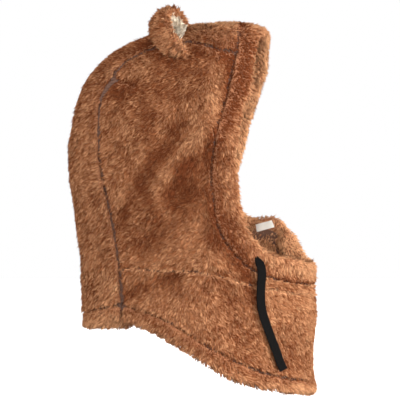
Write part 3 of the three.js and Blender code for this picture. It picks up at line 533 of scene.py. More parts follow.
def normals_of(mesh):
    normals = np.empty(len(mesh.vertices) * 3, np.float32)
    mesh.vertex_normals.foreach_get("vector", normals)
    return normals.reshape(-1, 3).astype(float)


def move_points(mesh, points):
    mesh.vertices.foreach_set("co", points.astype(np.float32).ravel())
    mesh.update()


def keep_value(mesh, name, values):
    kind = "FLOAT_VECTOR" if values.ndim == 2 else "FLOAT"
    attribute = mesh.attributes.new(name, kind, "POINT")
    attribute.data.foreach_set("vector" if values.ndim == 2 else "value", values.astype(np.float32).ravel())


def comb(mesh, amount, reach, tone, upright=0.62, curl=1.0):
    """Notes on the ground how its pile lies there, how much and how long it is, and its tone"""
    points, normals = points_of(mesh), normals_of(mesh)
    ahead = side_place(points)[0]
    nap = np.stack([0 * ahead, 0.9 - 1.5 * rise(ahead, 0.4, 0.7), -1.0 + 0 * ahead], -1)
    nap += 0.8 * drift(points, 0.05) + 0.8 * drift(points, 0.014, 7)
    nap -= normals * np.einsum("ij,ij->i", nap, normals)[:, None]
    stand = upright + 0.25 * drift(points, 0.03, 19)[:, :1]
    keep_value(mesh, "lay", unit(unit(nap) + normals * stand))
    keep_value(mesh, "amount", amount)
    keep_value(mesh, "reach", reach)
    keep_value(mesh, "tone", tone)
    keep_value(mesh, "curl", curl + 0 * tone)


# One lock of pile: a few fibres stuck together, widest below the middle, with a bent tip
lock = mesh_piece(
    "lock", [(0, 0, 0), (0.3, 0.5, 0.42), (0.3, -0.5, 0.42), (-0.15, 0, 1)],
    [(0, 1, 2), (3, 2, 1), (0, 2, 3), (0, 3, 1)])
keep_value(lock.data, "rise", np.array([0, 0.42, 0.42, 1.0]))

pile_tree = bpy.data.node_groups.new("pile", "GeometryNodeTree")
for socket_name, kind, usual in (
    ("Ground", "NodeSocketGeometry", None), ("Locks per square metre", "NodeSocketFloat", 300000.0),
    ("Lock length", "NodeSocketFloat", 0.006), ("Lock width", "NodeSocketFloat", 0.0016),
    ("Length spread", "NodeSocketFloat", 0.25), ("Tuft size", "NodeSocketFloat", 0.005),
    ("Tuft pull", "NodeSocketFloat", 0.5), ("Tuft shade", "NodeSocketFloat", 0.8),
    ("Tousle", "NodeSocketFloat", 0.3), ("Seed", "NodeSocketInt", 1),
    ("Lock", "NodeSocketObject", None), ("Finish", "NodeSocketMaterial", None),
):
    socket = pile_tree.interface.new_socket(socket_name, in_out="INPUT", socket_type=kind)
    if usual is not None:
        socket.default_value = usual
pile_tree.interface.new_socket("Pile", in_out="OUTPUT", socket_type="NodeSocketGeometry")
pile_in = pile_tree.nodes.new("NodeGroupInput")
pile_out = pile_tree.nodes.new("NodeGroupOutput")


def pile_node(kind, settings=(), inputs=()):
    node = pile_tree.nodes.new(kind)
    for name, value in dict(settings).items():
        setattr(node, name, value)
    for key, value in dict(inputs).items():
        socket = node.inputs[key]
        if isinstance(value, bpy.types.NodeSocket):
            pile_tree.links.new(value, socket)
        else:
            socket.default_value = value
    return node


def pile_sum(operation, a, b):
    return pile_node("ShaderNodeMath", {"operation": operation}, {0: a, 1: b}).outputs[0]


def pile_vector(operation, a, b):
    node = pile_node("ShaderNodeVectorMath", {"operation": operation}, {0: a, 1: b})
    return node.outputs["Value" if operation == "DOT_PRODUCT" else "Vector"]


def pile_scaled(vector, scale):
    return pile_node("ShaderNodeVectorMath", {"operation": "SCALE"}, {0: vector, "Scale": scale}).outputs[0]


def pile_named(name, kind="FLOAT"):
    named = pile_node("GeometryNodeInputNamedAttribute", {"data_type": kind}, {"Name": name})
    return named.outputs["Attribute"]


def pile_chance(low, high, shift):
    node = pile_node("FunctionNodeRandomValue", {"data_type": "FLOAT"})
    floats = [s for s in node.inputs if s.type == "VALUE"]
    floats[0].default_value, floats[1].default_value = 0.0, 1.0
    pile_tree.links.new(pile_sum("ADD", pile_in.outputs["Seed"], float(shift)), node.inputs["Seed"])
    made = [s for s in node.outputs if s.type == "VALUE"][0]
    spread = pile_sum("SUBTRACT", high, low)
    return pile_sum("ADD", pile_sum("MULTIPLY", made, spread), low)


spread_up = pile_sum("ADD", 1.0, pile_in.outputs["Length spread"])
spread_down = pile_sum("SUBTRACT", 1.0, pile_in.outputs["Length spread"])
sown = pile_node("GeometryNodeDistributePointsOnFaces", {"distribute_method": "RANDOM"}, {
    "Mesh": pile_in.outputs["Ground"],
    "Density": pile_sum("MULTIPLY", pile_in.outputs["Locks per square metre"], pile_named("amount")),
    "Seed": pile_in.outputs["Seed"]})
root = pile_node("GeometryNodeInputPosition").outputs["Position"]
# Tufts are longer down and back over the cloth than across it, and they wander
wander = pile_node("ShaderNodeTexNoise", {}, {"Vector": root, "Scale": 85, "Detail": 1}).outputs["Color"]
wander = pile_scaled(wander, 0.011)
tuft_way, tuft_slimness = (0.0, 0.6, -0.8), 2.6


def along_tuft(vector, share):
    """The vector, lengthened along the tufts' way by that share of its own part along it"""
    part = pile_vector("DOT_PRODUCT", vector, tuft_way)
    return pile_vector("ADD", vector, pile_scaled(tuft_way, pile_sum("MULTIPLY", part, share)))


wandered = pile_vector("ADD", along_tuft(root, 1 / tuft_slimness - 1), wander)
tuft = pile_node("ShaderNodeTexVoronoi", {"voronoi_dimensions": "3D"}, {
    "Vector": wandered, "Scale": pile_sum("DIVIDE", 1.0, pile_in.outputs["Tuft size"])})
inwards = along_tuft(pile_vector("SUBTRACT", tuft.outputs["Position"], wandered), tuft_slimness - 1)
length = pile_sum("MULTIPLY", pile_in.outputs["Lock length"], pile_named("reach"))
length = pile_sum("MULTIPLY", length, pile_chance(spread_down, spread_up, 11))
tousled = pile_node("ShaderNodeCombineXYZ", {}, {
    0: pile_chance(-1.0, 1.0, 21), 1: pile_chance(-1.0, 1.0, 22), 2: pile_chance(-1.0, 1.0, 23)})
tousle = pile_scaled(tousled.outputs[0], pile_in.outputs["Tousle"])
way = pile_vector("ADD", pile_named("lay", "FLOAT_VECTOR"), tousle)
tip = pile_vector("ADD", pile_scaled(way, length), pile_scaled(inwards, pile_in.outputs["Tuft pull"]))
noted = sown.outputs["Points"]
# The sides of a tuft turn away from its middle and lie in its neighbours' shade
rounded = pile_scaled(inwards, -130.0)
tuft_side = pile_sum("SUBTRACT", tuft.outputs["Distance"], 0.42)
shaded = pile_sum("MULTIPLY", tuft_side, pile_in.outputs["Tuft shade"])
varied = pile_sum("MULTIPLY", pile_sum("ADD", shaded, pile_chance(-0.5, 0.5, 61)), pile_named("curl"))
for name, kind, value in (
    ("skin", "FLOAT_VECTOR", pile_vector("ADD", sown.outputs["Normal"], rounded)),
    ("tone", "FLOAT", pile_sum("ADD", pile_named("tone"), varied)),
    ("tuft", "FLOAT", pile_node("ShaderNodeSeparateXYZ", {}, {0: tuft.outputs["Color"]}).outputs[0]),
    ("tint", "FLOAT", pile_chance(0.0, 1.0, 31)),
):
    noted = pile_node("GeometryNodeStoreNamedAttribute", {"data_type": kind, "domain": "POINT"}, {
        "Geometry": noted, "Name": name, "Value": value}).outputs[0]
aligned = pile_node("FunctionNodeAlignRotationToVector", {"axis": "Z"}, {"Vector": tip})
spin = pile_node("FunctionNodeAxisAngleToRotation", {}, {
    "Axis": (0, 0, 1), "Angle": pile_chance(0.0, 2 * math.pi, 41)})
turned = pile_node("FunctionNodeRotateRotation", {"rotation_space": "LOCAL"}, {
    0: aligned.outputs[0], 1: spin.outputs[0]})
wide = pile_sum("MULTIPLY", pile_in.outputs["Lock width"], pile_chance(0.75, 1.3, 51))
reached = pile_node("ShaderNodeVectorMath", {"operation": "LENGTH"}, {0: tip})
size = pile_node("ShaderNodeCombineXYZ", {}, {0: wide, 1: wide, 2: reached.outputs["Value"]})
one_lock = pile_node("GeometryNodeObjectInfo", {}, {"Object": pile_in.outputs["Lock"]})
placed = pile_node("GeometryNodeInstanceOnPoints", {}, {
    "Points": noted, "Instance": one_lock.outputs["Geometry"],
    "Rotation": turned.outputs[0], "Scale": size.outputs[0]})
real = pile_node("GeometryNodeRealizeInstances", {}, {"Geometry": placed.outputs[0]})
finished = pile_node("GeometryNodeSetMaterial", {}, {
    "Geometry": real.outputs[0], "Material": pile_in.outputs["Finish"]})
pile_tree.links.new(finished.outputs[0], pile_out.inputs[0])
pile_sockets = {s.name: s.identifier for s in pile_tree.interface.items_tree if s.in_out == "INPUT"}


def grow_pile(ground, name, **values):
    """The pile of a knitted ground as one plain mesh that rides with it"""
    grower = ground.modifiers.new("pile", "NODES")
    grower.node_group = pile_tree
    grower[pile_sockets["Lock"]] = lock
    for key, value in values.items():
        grower[pile_sockets[key.replace("_", " ").capitalize()]] = value
    ground.update_tag()
    seen_ground = ground.evaluated_get(bpy.context.evaluated_depsgraph_get())
    mesh = bpy.data.meshes.new_from_object(seen_ground)
    ground.modifiers.remove(grower)
    pile = bpy.data.objects.new(name, mesh)
    mesh.name = name
    bpy.context.scene.collection.objects.link(pile)
    # Light reads the pile as a soft surface: each fibre mostly turns with the cloth below it
    skin = np.empty(len(mesh.vertices) * 3, np.float32)
    mesh.attributes["skin"].data.foreach_get("vector", skin)
    mesh.shade_smooth()
    soft = unit(0.76 * skin.reshape(-1, 3) + 0.24 * normals_of(mesh))
    mesh.normals_split_custom_set_from_vertices(soft.tolist())
    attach(pile, "root")
    return pile


def plush(name, deep, shaded_root_colour, tip_colour, pale):
    """Material of pile: dark at its roots as painted shade, pale at its tips, random patches darker, and
    darker or paler by its tone, which holds painted shade and highlights
    """
    finish = bpy.data.materials.new(name)
    finish.use_nodes = True
    tree = finish.node_tree
    shader = tree.nodes["Principled BSDF"]
    shader.inputs["Roughness"].default_value = 0.85
    shader.inputs["Specular IOR Level"].default_value = 0.1

    def node(kind, settings=(), inputs=()):
        made = tree.nodes.new(kind)
        for key, value in dict(settings).items():
            setattr(made, key, value)
        for key, value in dict(inputs).items():
            if isinstance(value, bpy.types.NodeSocket):
                tree.links.new(value, made.inputs[key])
            else:
                made.inputs[key].default_value = value
        return made

    def value_of(attribute):
        return node("ShaderNodeAttribute", {"attribute_name": attribute}).outputs["Fac"]

    place = node("ShaderNodeTexCoord").outputs["Object"]
    patches = node("ShaderNodeTexNoise", {}, {"Vector": place, "Scale": 24, "Detail": 3, "Roughness": 0.6})
    flecks = node("ShaderNodeTexNoise", {}, {"Vector": place, "Scale": 210, "Detail": 2, "Roughness": 0.6})
    # The roots are painted darker than the tips: painted shade down among the locks
    body = node("ShaderNodeMix", {"data_type": "RGBA"}, {0: value_of("rise")})
    body.inputs[6].default_value = (*shaded_root_colour, 1)
    body.inputs[7].default_value = (*tip_colour, 1)
    tufts = node("ShaderNodeMath", {"operation": "ADD"}, {0: value_of("tuft"), 1: value_of("tint")})
    lit = node("ShaderNodeMath", {"operation": "ADD"}, {0: tufts.outputs[0], 1: flecks.outputs["Fac"]})
    # Painted shade and highlights: the tone attribute darkens or pales each lock
    lit_less_shade = node("ShaderNodeMath", {"operation": "MULTIPLY_ADD"}, {
        0: value_of("tone"), 1: -1.2, 2: lit.outputs[0]})
    paleness = node("ShaderNodeMapRange", {}, {
        "Value": lit_less_shade.outputs[0], "From Min": 0.9, "From Max": 3.05, "To Min": 0.0, "To Max": 1.0})
    fleck = node("ShaderNodeMix", {"data_type": "RGBA"}, {0: paleness.outputs[0], 6: body.outputs[2]})
    fleck.inputs[7].default_value = (*pale, 1)
    darker = node("ShaderNodeMath", {"operation": "MULTIPLY_ADD"}, {
        0: patches.outputs["Fac"], 1: 2.4, 2: -0.95})
    toned = node("ShaderNodeMath", {"operation": "ADD", "use_clamp": True}, {
        0: darker.outputs[0], 1: value_of("tone")})
    coloured = node("ShaderNodeMix", {"data_type": "RGBA", "blend_type": "MULTIPLY"}, {
        0: toned.outputs[0], 6: fleck.outputs[2]})
    coloured.inputs[7].default_value = (*deep, 1)
    tree.links.new(coloured.outputs[2], shader.inputs["Base Color"])
    glow = node("ShaderNodeBsdfTranslucent", {}, {"Color": coloured.outputs[2]})
    mixed = node("ShaderNodeMixShader", {}, {
        "Fac": 0.3, 1: shader.outputs["BSDF"], 2: glow.outputs["BSDF"]})
    tree.links.new(mixed.outputs[0], tree.nodes["Material Output"].inputs["Surface"])
    return finish


def knit(name, colour, line_colour):
    """Material of the knitted ground that shows at the foot of the pile"""
    finish = bpy.data.materials.new(name)
    finish.use_nodes = True
    tree = finish.node_tree
    shader = tree.nodes["Principled BSDF"]
    shader.inputs["Roughness"].default_value = 0.95
    place = tree.nodes.new("ShaderNodeTexCoord")
    loops = tree.nodes.new("ShaderNodeTexVoronoi")
    loops.inputs["Scale"].default_value = 900
    colours = tree.nodes.new("ShaderNodeValToRGB")
    colours.color_ramp.elements[0].color = (*line_colour, 1)
    colours.color_ramp.elements[1].color = (*colour, 1)
    bump = tree.nodes.new("ShaderNodeBump")
    bump.inputs["Strength"].default_value = 0.7
    bump.inputs["Distance"].default_value = 0.0006
    tree.links.new(place.outputs["Object"], loops.inputs["Vector"])
    tree.links.new(loops.outputs["Distance"], colours.inputs["Fac"])
    tree.links.new(colours.outputs["Color"], shader.inputs["Base Color"])
    tree.links.new(loops.outputs["Distance"], bump.inputs["Height"])
    tree.links.new(bump.outputs["Normal"], shader.inputs["Normal"])
    return finish


brown_pile = plush(
    "brown_pile", deep=(0.46, 0.32, 0.245), shaded_root_colour=(0.24, 0.083, 0.032),
    tip_colour=(0.53, 0.197, 0.08), pale=(0.84, 0.44, 0.22))
brown_knit = knit("brown_knit", (0.48, 0.19, 0.083), (0.28, 0.105, 0.045))

# The seam allowances lie flat inside each seam, as a narrow strip that shows between the panels as a greyer
# line, coloured darker than the cloth's ground as painted shade in the seam's groove; short bars of brown
# thread cross it.
seam_shade_knit = knit("seam_shade_knit", (0.2, 0.095, 0.06), (0.09, 0.042, 0.026))
brown_thread = knit("brown_thread", (0.085, 0.035, 0.018), (0.04, 0.016, 0.008))
bar_rings = 5
bar_points, bar_faces = [], []
for ring in range(bar_rings):
    share = ring / (bar_rings - 1)
    for corner in range(4):
        turn = (corner + 0.5) * math.pi / 2
        arch = 4.8 * share * (1 - share)
        bar_points.append((0.5 * math.cos(turn), share - 0.5, 0.5 * math.sin(turn) + arch))
for ring in range(bar_rings - 1):
    for corner in range(4):
        a, b = ring * 4 + corner, ring * 4 + (corner + 1) % 4
        bar_faces.append((a, a + 4, b + 4, b))
bar_faces += [(0, 1, 2, 3), tuple(reversed(range(4 * bar_rings - 4, 4 * bar_rings)))]
thread_bar = mesh_piece("thread_bar", bar_points, bar_faces)

stitch_tree = bpy.data.node_groups.new("stitches", "GeometryNodeTree")
for socket_name, kind, usual in (
    ("Seam", "NodeSocketGeometry", None), ("Spacing", "NodeSocketFloat", 0.0034),
    ("Bar length", "NodeSocketFloat", 0.0034), ("Thread width", "NodeSocketFloat", 0.0007),
    ("Slant", "NodeSocketFloat", 0.35), ("Seed", "NodeSocketInt", 1),
    ("Bar", "NodeSocketObject", None), ("Finish", "NodeSocketMaterial", None),
):
    socket = stitch_tree.interface.new_socket(socket_name, in_out="INPUT", socket_type=kind)
    if usual is not None:
        socket.default_value = usual
stitch_tree.interface.new_socket("Stitches", in_out="OUTPUT", socket_type="NodeSocketGeometry")
stitch_in, stitch_out = stitch_tree.nodes.new("NodeGroupInput"), stitch_tree.nodes.new("NodeGroupOutput")


def stitch_node(kind, settings=(), inputs=()):
    node = stitch_tree.nodes.new(kind)
    for name, value in dict(settings).items():
        setattr(node, name, value)
    for key, value in dict(inputs).items():
        if isinstance(value, bpy.types.NodeSocket):
            stitch_tree.links.new(value, node.inputs[key])
        else:
            node.inputs[key].default_value = value
    return node


seam_curve = stitch_node("GeometryNodeMeshToCurve", {}, {0: stitch_in.outputs["Seam"]})
marked = stitch_node("GeometryNodeResampleCurve", {"mode": "LENGTH"}, {
    "Curve": seam_curve.outputs[0], "Length": stitch_in.outputs["Spacing"]})
run_way = stitch_node("FunctionNodeAlignRotationToVector", {"axis": "X"}, {
    "Vector": stitch_node("GeometryNodeInputTangent").outputs[0]})
out_way = stitch_node("GeometryNodeInputNamedAttribute", {"data_type": "FLOAT_VECTOR"}, {"Name": "out"})
stood = stitch_node("FunctionNodeAlignRotationToVector", {"axis": "Z", "pivot_axis": "X"}, {
    "Rotation": run_way.outputs[0], "Vector": out_way.outputs["Attribute"]})
chance = stitch_node("FunctionNodeRandomValue", {"data_type": "FLOAT"}, {"Seed": stitch_in.outputs["Seed"]})
chances = [s for s in chance.inputs if s.type == "VALUE"]
chances[0].default_value, chances[1].default_value = 0.6, 1.4
slant = stitch_node("ShaderNodeMath", {"operation": "MULTIPLY"}, {
    0: [s for s in chance.outputs if s.type == "VALUE"][0], 1: stitch_in.outputs["Slant"]})
slanted = stitch_node("FunctionNodeRotateRotation", {"rotation_space": "LOCAL"}, {
    0: stood.outputs[0], 1: stitch_node("FunctionNodeAxisAngleToRotation", {}, {
        "Axis": (0, 0, 1), "Angle": slant.outputs[0]}).outputs[0]})
bar_size = stitch_node("ShaderNodeCombineXYZ", {}, {
    0: stitch_in.outputs["Thread width"], 1: stitch_in.outputs["Bar length"],
    2: stitch_in.outputs["Thread width"]})
sewn = stitch_node("GeometryNodeInstanceOnPoints", {}, {
    "Points": marked.outputs[0],
    "Instance": stitch_node("GeometryNodeObjectInfo", {}, {0: stitch_in.outputs["Bar"]}).outputs["Geometry"],
    "Rotation": slanted.outputs[0], "Scale": bar_size.outputs[0]})
real_bars = stitch_node("GeometryNodeRealizeInstances", {}, {0: sewn.outputs[0]})
thread_set = stitch_node("GeometryNodeSetMaterial", {}, {
    "Geometry": real_bars.outputs[0], "Material": stitch_in.outputs["Finish"]})
stitch_tree.links.new(thread_set.outputs[0], stitch_out.inputs[0])
stitch_sockets = {s.name: s.identifier for s in stitch_tree.interface.items_tree if s.in_out == "INPUT"}

allowance_reach, allowance_depth = 0.006, 0.0028
for key, line in seam_lines.items():
    line = line[::3]
    feet, normals = nearest_on_form(line)
    along = unit(np.gradient(line, axis=0))
    across = unit(np.cross(normals, along))
    rings = [
        feet - normals * (allowance_depth + thick) + across * wide
        for wide, thick in (
            (-allowance_reach, 0.0), (0, -0.0003), (allowance_reach, 0.0),
            (allowance_reach, 0.0007), (0, 0.0007), (-allowance_reach, 0.0007))
    ]
    strip = body_of_rings(f"seam_allowance_{key}", np.stack(rings, 1), seam_shade_knit)
    if key == "neck":
        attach(strip, "root")
        continue
    threads = mesh_piece(f"seam_thread_{key}", feet - normals * 0.0018, [])
    threads.data.edges.add(len(feet) - 1)
    steps = np.arange(len(feet) - 1)
    threads.data.edges.foreach_set("vertices", np.stack([steps, steps + 1], 1).ravel())
    threads.data.update()
    keep_value(threads.data, "out", normals)
    sewer = threads.modifiers.new("stitches", "NODES")
    sewer.node_group = stitch_tree
    sewer[stitch_sockets["Bar"]] = thread_bar
    sewer[stitch_sockets["Finish"]] = brown_thread
    sewer[stitch_sockets["Bar length"]] = 0.0036
    sewer[stitch_sockets["Seed"]] = len(key)
    threads.update_tag()
    made = bpy.data.meshes.new_from_object(threads.evaluated_get(bpy.context.evaluated_depsgraph_get()))
    threads.modifiers.clear()
    threads.data = made
    for piece in (strip, threads):
        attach(piece, "root")

# Panels: the centre strip, the two cheek panels and the bib. Each is one layer of plush, puckered
# where it is sewn, with short pile at the seams and under the tape. The inner face is left as
# bare knit at the back and low in the hood.
pile_count = 0


def area_of(mesh):
    return sum(face.area for face in mesh.polygons)


for node, locks in (
    ("centre_panel", 35500), ("side_panel_right", 34500), ("side_panel_left", 28000), ("neck_bib", 33000),
):
    ground = ground_of(node, 0.0032, 2)
    points = points_of(ground.data)
    feet, normals = nearest_on_form(points)
    ahead, up = side_place(feet)
    outer = rise(np.einsum("ij,ij->i", normals_of(ground.data), normals), -0.4, 0.4)
    bare_gap = distance_to(feet, crown_points) + 0.0009 * rise(ahead, 0.34, 0.42)
    gape = np.exp(-(((up - 0.775) / 0.022) ** 2)) + np.exp(-(((up - 0.885) / 0.025) ** 2))
    bare_gap = np.maximum(bare_gap - 0.0007 * gape, 0)
    closeness = 1.9 - 1.1 * np.exp(-(((up - 0.85) / 0.05) ** 2)) * (ahead > 0.6)
    closeness += 2 * rise(ahead, 0.7, 0.77) * (1 - rise(up, 0.4, 0.45)) * (1 - rise(-up, -0.2, -0.15))
    bare_gap = np.minimum(bare_gap, closeness * distance_to(feet, sewn_points))
    neck_gap = distance_to(feet, neck_points)
    crease_gap = distance_to(feet, crease_points)
    tape_gap = distance_to(points, np.concatenate(list(tape_lines.values())))
    lining_gap = distance_to(points, lining_points)
    puckers = drift(feet, 0.028)[:, 0] * 0.0014 + drift(feet, 0.011, 31)[:, 0] * 0.0006
    puckers -= 0.0012 * np.exp(-((bare_gap / 0.003) ** 2)) + 0.0035 * np.exp(-((crease_gap / 0.003) ** 2))
    puckers += 0.0012 * np.exp(-(((bare_gap - 0.006) / 0.003) ** 2))
    puckers += 0.0014 * np.exp(-((neck_gap / 0.002) ** 2))
    move_points(ground.data, feet + normals * (puckers - 0.0029 + 0.0009 * outer)[:, None])
    # Tone: painted shade in the fold valleys and painted highlight on the ridges, with the painted shade and
    # highlight strokes
    folded = -fold_bulge(ahead, up) / fold_height
    tone = 0.5 * np.clip(folded, 0, 1.2) - 0.3 * np.clip(-folded, 0, 1) + shade_and_nap(ahead, up)
    tone *= outer
    smooth = np.exp(-(((ahead - 0.48) / 0.2) ** 2) - ((up - 0.5) / 0.24) ** 2)
    tone += 0.06 * smooth
    # Painted light: paler towards the front, where the front lamp falls, and much paler on the inner face in
    # front, which lies in the hood's own shade
    tone -= 0.15 * rise(ahead, 0.8, 0.98) + 1.2 * (1 - outer) * rise(ahead, 0.58, 0.72)
    # Painted shade on the cheek panels along the casing seam's groove
    if "side" in node:
        casing_gap = distance_to(feet, seam_lines["casing"])
        tone += 0.45 * np.exp(-((casing_gap / 0.006) ** 2)) * outer * (1 - rise(ahead, 0.68, 0.76))
    # Painted shade in the grooves of the seams and the crease, and a painted highlight on the raised neck
    # seam with painted shade just off it
    tone += 0.5 * np.exp(-((bare_gap / 0.0025) ** 2)) + 2 * np.exp(-((crease_gap / 0.003) ** 2))
    tone -= 1.5 * np.exp(-((neck_gap / 0.0015) ** 2)) - 0.3 * np.exp(-(((neck_gap - 0.0045) / 0.002) ** 2))
    # On the centre strip, a paler band 4 mm off the crown seam
    if node == "centre_panel":
        tone -= 0.3 * np.exp(-(((bare_gap - 0.004) / 0.002) ** 2))
    near_seam = rise(bare_gap + 0.01 * (1 - outer), 0.001, 0.0055)
    near_seam *= 0.7 + 0.3 * rise(neck_gap, 0.0006, 0.004)
    reach = (0.35 + 0.65 * near_seam) * (0.75 + 0.25 * outer) * (0.3 + 0.7 * rise(lining_gap, 0.002, 0.007))
    reach *= 0.5 + 0.5 * rise(tape_gap, 0.004, 0.008)
    reach *= 0.25 + 0.75 * rise(crease_gap, 0.001, 0.006)
    exit_gap = distance_to(points, np.concatenate([tape_exits["right"], tape_exits["left"]]))
    reach *= 0.45 + 0.55 * rise(exit_gap, 0.003, 0.008)
    inner_share = rise(ahead, 0.58, 0.72) * rise(up, 0.2, 0.28)
    amount = (inner_share + (1 - inner_share) * outer) * (1 - outer * (1 - rise(bare_gap, 0.0011, 0.0024)))
    amount *= rise(lining_gap, 0.001, 0.003)
    amount *= 0.82 + 0.18 * rise(drift(feet, 0.04, 43)[:, 0], -0.15, 0.15)
    comb(ground.data, amount, reach, tone, curl=1 - 0.6 * smooth)
    ground.data.materials.append(brown_knit)
    ground.data.shade_smooth()
    pile_count += 1
    sown_share = float(np.mean(amount))
    pile = grow_pile(
        ground, node + "_pile", locks_per_square_metre=locks / (area_of(ground.data) * sown_share),
        lock_length=0.0049, lock_width=0.0013, tuft_size=0.0027, tuft_pull=0.45, tousle=0.24,
        length_spread=0.2, seed=pile_count, finish=brown_pile)
    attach(ground, "root")
    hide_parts(node)

# Casing and hems: the cloth's edges are turned and stitched down, so each is a soft roll of
# two layers. The casing rings the face opening and holds the tape. It is joined in a notch
# on the crown, and its inner stitch line on the left also holds the label.
inner_stitches = smooth_line([
    (0.0592, -0.0345, -0.2225), (0.0577, -0.0405, -0.2222), (0.0512, -0.0565, -0.2175),
    (0.0465, -0.067, -0.2148)], 8)
label_middle = np.linspace((0.0545, -0.0425, -0.2175), (0.0495, -0.0555, -0.2135), 9)
casing_notch = ((0.692, 0.966), (0.702, 0.983), (0.712, 0.994), (0.72, 0.9985))
notch_points = np.concatenate([seam_on_form(casing_notch, side) for side in (-1, 1)])
casing_roll = 0.006
tongue_length = 0.0105
for node, locks, seam_key in (
    ("face_casing", 31000, "casing"),
    ("bib_hem", 14000, "bib_hem"),
    ("nape_hem", 4500, "nape_hem"),
):
    ground = ground_of(node, 0.003, 3)
    points, normals = points_of(ground.data), normals_of(ground.data)
    seam_gap = distance_to(points, seam_lines[seam_key])
    exit_gap = distance_to(points, np.concatenate([tape_exits["right"], tape_exits["left"]]))
    dents = drift(points, 0.024, 3)[:, 0] * np.where(points[:, 0] > 0, 0.0026, 0.0014)
    drawn_in = 0.0006 + 0.0014 * rise(seam_gap, 0.002, 0.008)
    inward = rise(-np.sign(points[:, 0]) * normals[:, 0], -0.2, 0.6)
    if node == "face_casing":
        # Its inner face swells, so that the roll turns forwards
        swell = inward * (1 - rise(seam_gap, 0.008, 0.02))
        swell *= rise(distance_to(points, label_middle), 0.014, 0.024)
        drawn_in -= casing_roll * swell
    near_seam = rise(seam_gap, 0.0025, 0.007)
    reach = (0.5 + 0.5 * near_seam) * (0.3 + 0.7 * rise(exit_gap, 0.002, 0.008))
    label_gap = distance_to(points, label_middle)
    amount = rise(label_gap, 0.0035, 0.0048) * rise(distance_to(points, inner_stitches), 0.0002, 0.0008)
    reach *= 0.5 + 0.5 * rise(label_gap, 0.0045, 0.008)
    ahead, up = side_place(points)
    facing = rise(-normals[:, 1], 0.3, 0.9)
    # Tone: painted shade in the seam's groove and over the top of the casing, and a painted highlight
    # towards the front
    tone = 0.65 - 0.7 * rise(seam_gap, 0.001, 0.015) - 0.3 * rise(ahead, 0.7, 0.98) * near_seam
    browed = rise(up, 0.6, 0.75) * (1 - rise(ahead, 0.69, 0.75))
    tone += (0.35 + 0.5 * np.exp(-((seam_gap / 0.007) ** 2))) * browed
    tone += 0.25 * np.exp(-(((ahead - 0.7) / 0.06) ** 2)) * (1 - rise(up, 0.45, 0.6)) * rise(up, 0.25, 0.3)
    # The painted shade and highlight strokes on the outer face, painted light on the inner face, which lies
    # in the hood's shade, and a painted highlight where the cloth faces the front lamp
    tone += shade_and_nap(ahead, up) * (1 - inward) - 1.6 * inward - 0.35 * facing
    if node == "face_casing":
        # The crown seam is sewn on across the casing
        joint_gap = np.hypot(up - 0.916, 0.3 * np.clip(np.abs(ahead - 0.72) - 0.045, 0, 1)) * hood_height
        across = (1 - inward) * (1 - rise(joint_gap, 0.0008, 0.0028)) * (ahead > 0.64)
        # Painted shade in the groove where the crown seam crosses the casing
        tone += 0.9 * across
        reach *= 1 - 0.6 * across
        points = points - normals * (0.0012 * across)[:, None]
        notch = 1 - rise(distance_to(points, notch_points), 0.0006, 0.003)
        # Painted shade in the notch
        tone += 0.5 * notch
        reach *= 1 - 0.6 * notch
        points = points - normals * (0.0022 * notch)[:, None]
    else:
        tone -= 0.3 * (1 - facing) * (1 - rise(ahead, 0.6, 0.8)) + 0.4 * (node == "nape_hem")
        tone -= 0.2 * rise(ahead, 0.6, 0.8)
    points = points + normals * (dents - drawn_in)[:, None]
    if node == "nape_hem":
        # The inner layer runs on past the corner as a short tongue
        tongue = rise(ahead, 0.12, 0.21) * (1 - rise(up, 0.185, 0.215))
        points[:, 1] -= tongue_length * tongue
        points[:, 0] *= 1 - 0.06 * tongue
    move_points(ground.data, points)
    comb(ground.data, amount, reach, tone)
    ground.data.materials.append(brown_knit)
    ground.data.shade_smooth()
    pile_count += 1
    pile = grow_pile(
        ground, node + "_pile", locks_per_square_metre=locks / area_of(ground.data),
        lock_length=0.0047, lock_width=0.0013, tuft_size=0.0028, tuft_pull=0.45, tousle=0.24,
        length_spread=0.2, seed=pile_count, finish=brown_pile)
    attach(ground, "root")
    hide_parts(node)

# Ears: two cupped bear ears of the same brown plush, sewn to the crown and turned over a
# lining of cream plush.
cream_pile = plush(
    "cream_pile", deep=(0.93, 0.82, 0.7), shaded_root_colour=(0.84, 0.66, 0.46),
    tip_colour=(0.94, 0.79, 0.61), pale=(0.95, 0.83, 0.66))
cream_knit = knit("cream_knit", (0.8, 0.68, 0.53), (0.6, 0.48, 0.36))
ear_lean = 0.0055
for node, locks, slot_name, pile_finish, knit_finish, draw_in, lock_length in (
    ("ear_right", 8400, "brown_plush", brown_pile, brown_knit, 0.0009, 0.0043),
    ("ear_left", 8400, "brown_plush", brown_pile, brown_knit, 0.0009, 0.0043),
    ("ear_lining_right", 3600, "cream_plush", cream_pile, cream_knit, 0.0002, 0.0042),
    ("ear_lining_left", 3600, "cream_plush", cream_pile, cream_knit, 0.0002, 0.0042),
):
    ground = ground_of(node, 0.0021, 4)
    points, normals = points_of(ground.data), normals_of(ground.data)
    dents = drift(points, 0.016, 5)[:, 0] * 0.0008
    lean = ear_lean * rise(-points[:, 2], -0.005, 0.025)
    points = points + normals * (dents - draw_in)[:, None]
    points[:, 1] -= lean
    move_points(ground.data, points)
    lining_gap = distance_to(points, lining_points) if slot_name == "brown_plush" else np.ones(len(points))
    clear = rise(lining_gap, 0.0015, 0.004)
    tone, curl, tuft_shade = (-0.1, 1.0, 0.9) if slot_name == "brown_plush" else (-0.4, 0.3, 0.3)
    comb(ground.data, 0.2 + 0.8 * clear, 0.45 + 0.55 * clear, np.full(len(points), tone), 1.1, curl)
    ground.data.materials.append(knit_finish)
    ground.data.shade_smooth()
    pile_count += 1
    pile = grow_pile(
        ground, node + "_pile", locks_per_square_metre=locks / area_of(ground.data),
        lock_length=lock_length, lock_width=0.0014, tuft_size=0.003, tuft_pull=0.55,
        tuft_shade=tuft_shade, seed=pile_count, finish=pile_finish)
    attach(ground, "root")
    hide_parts(node)

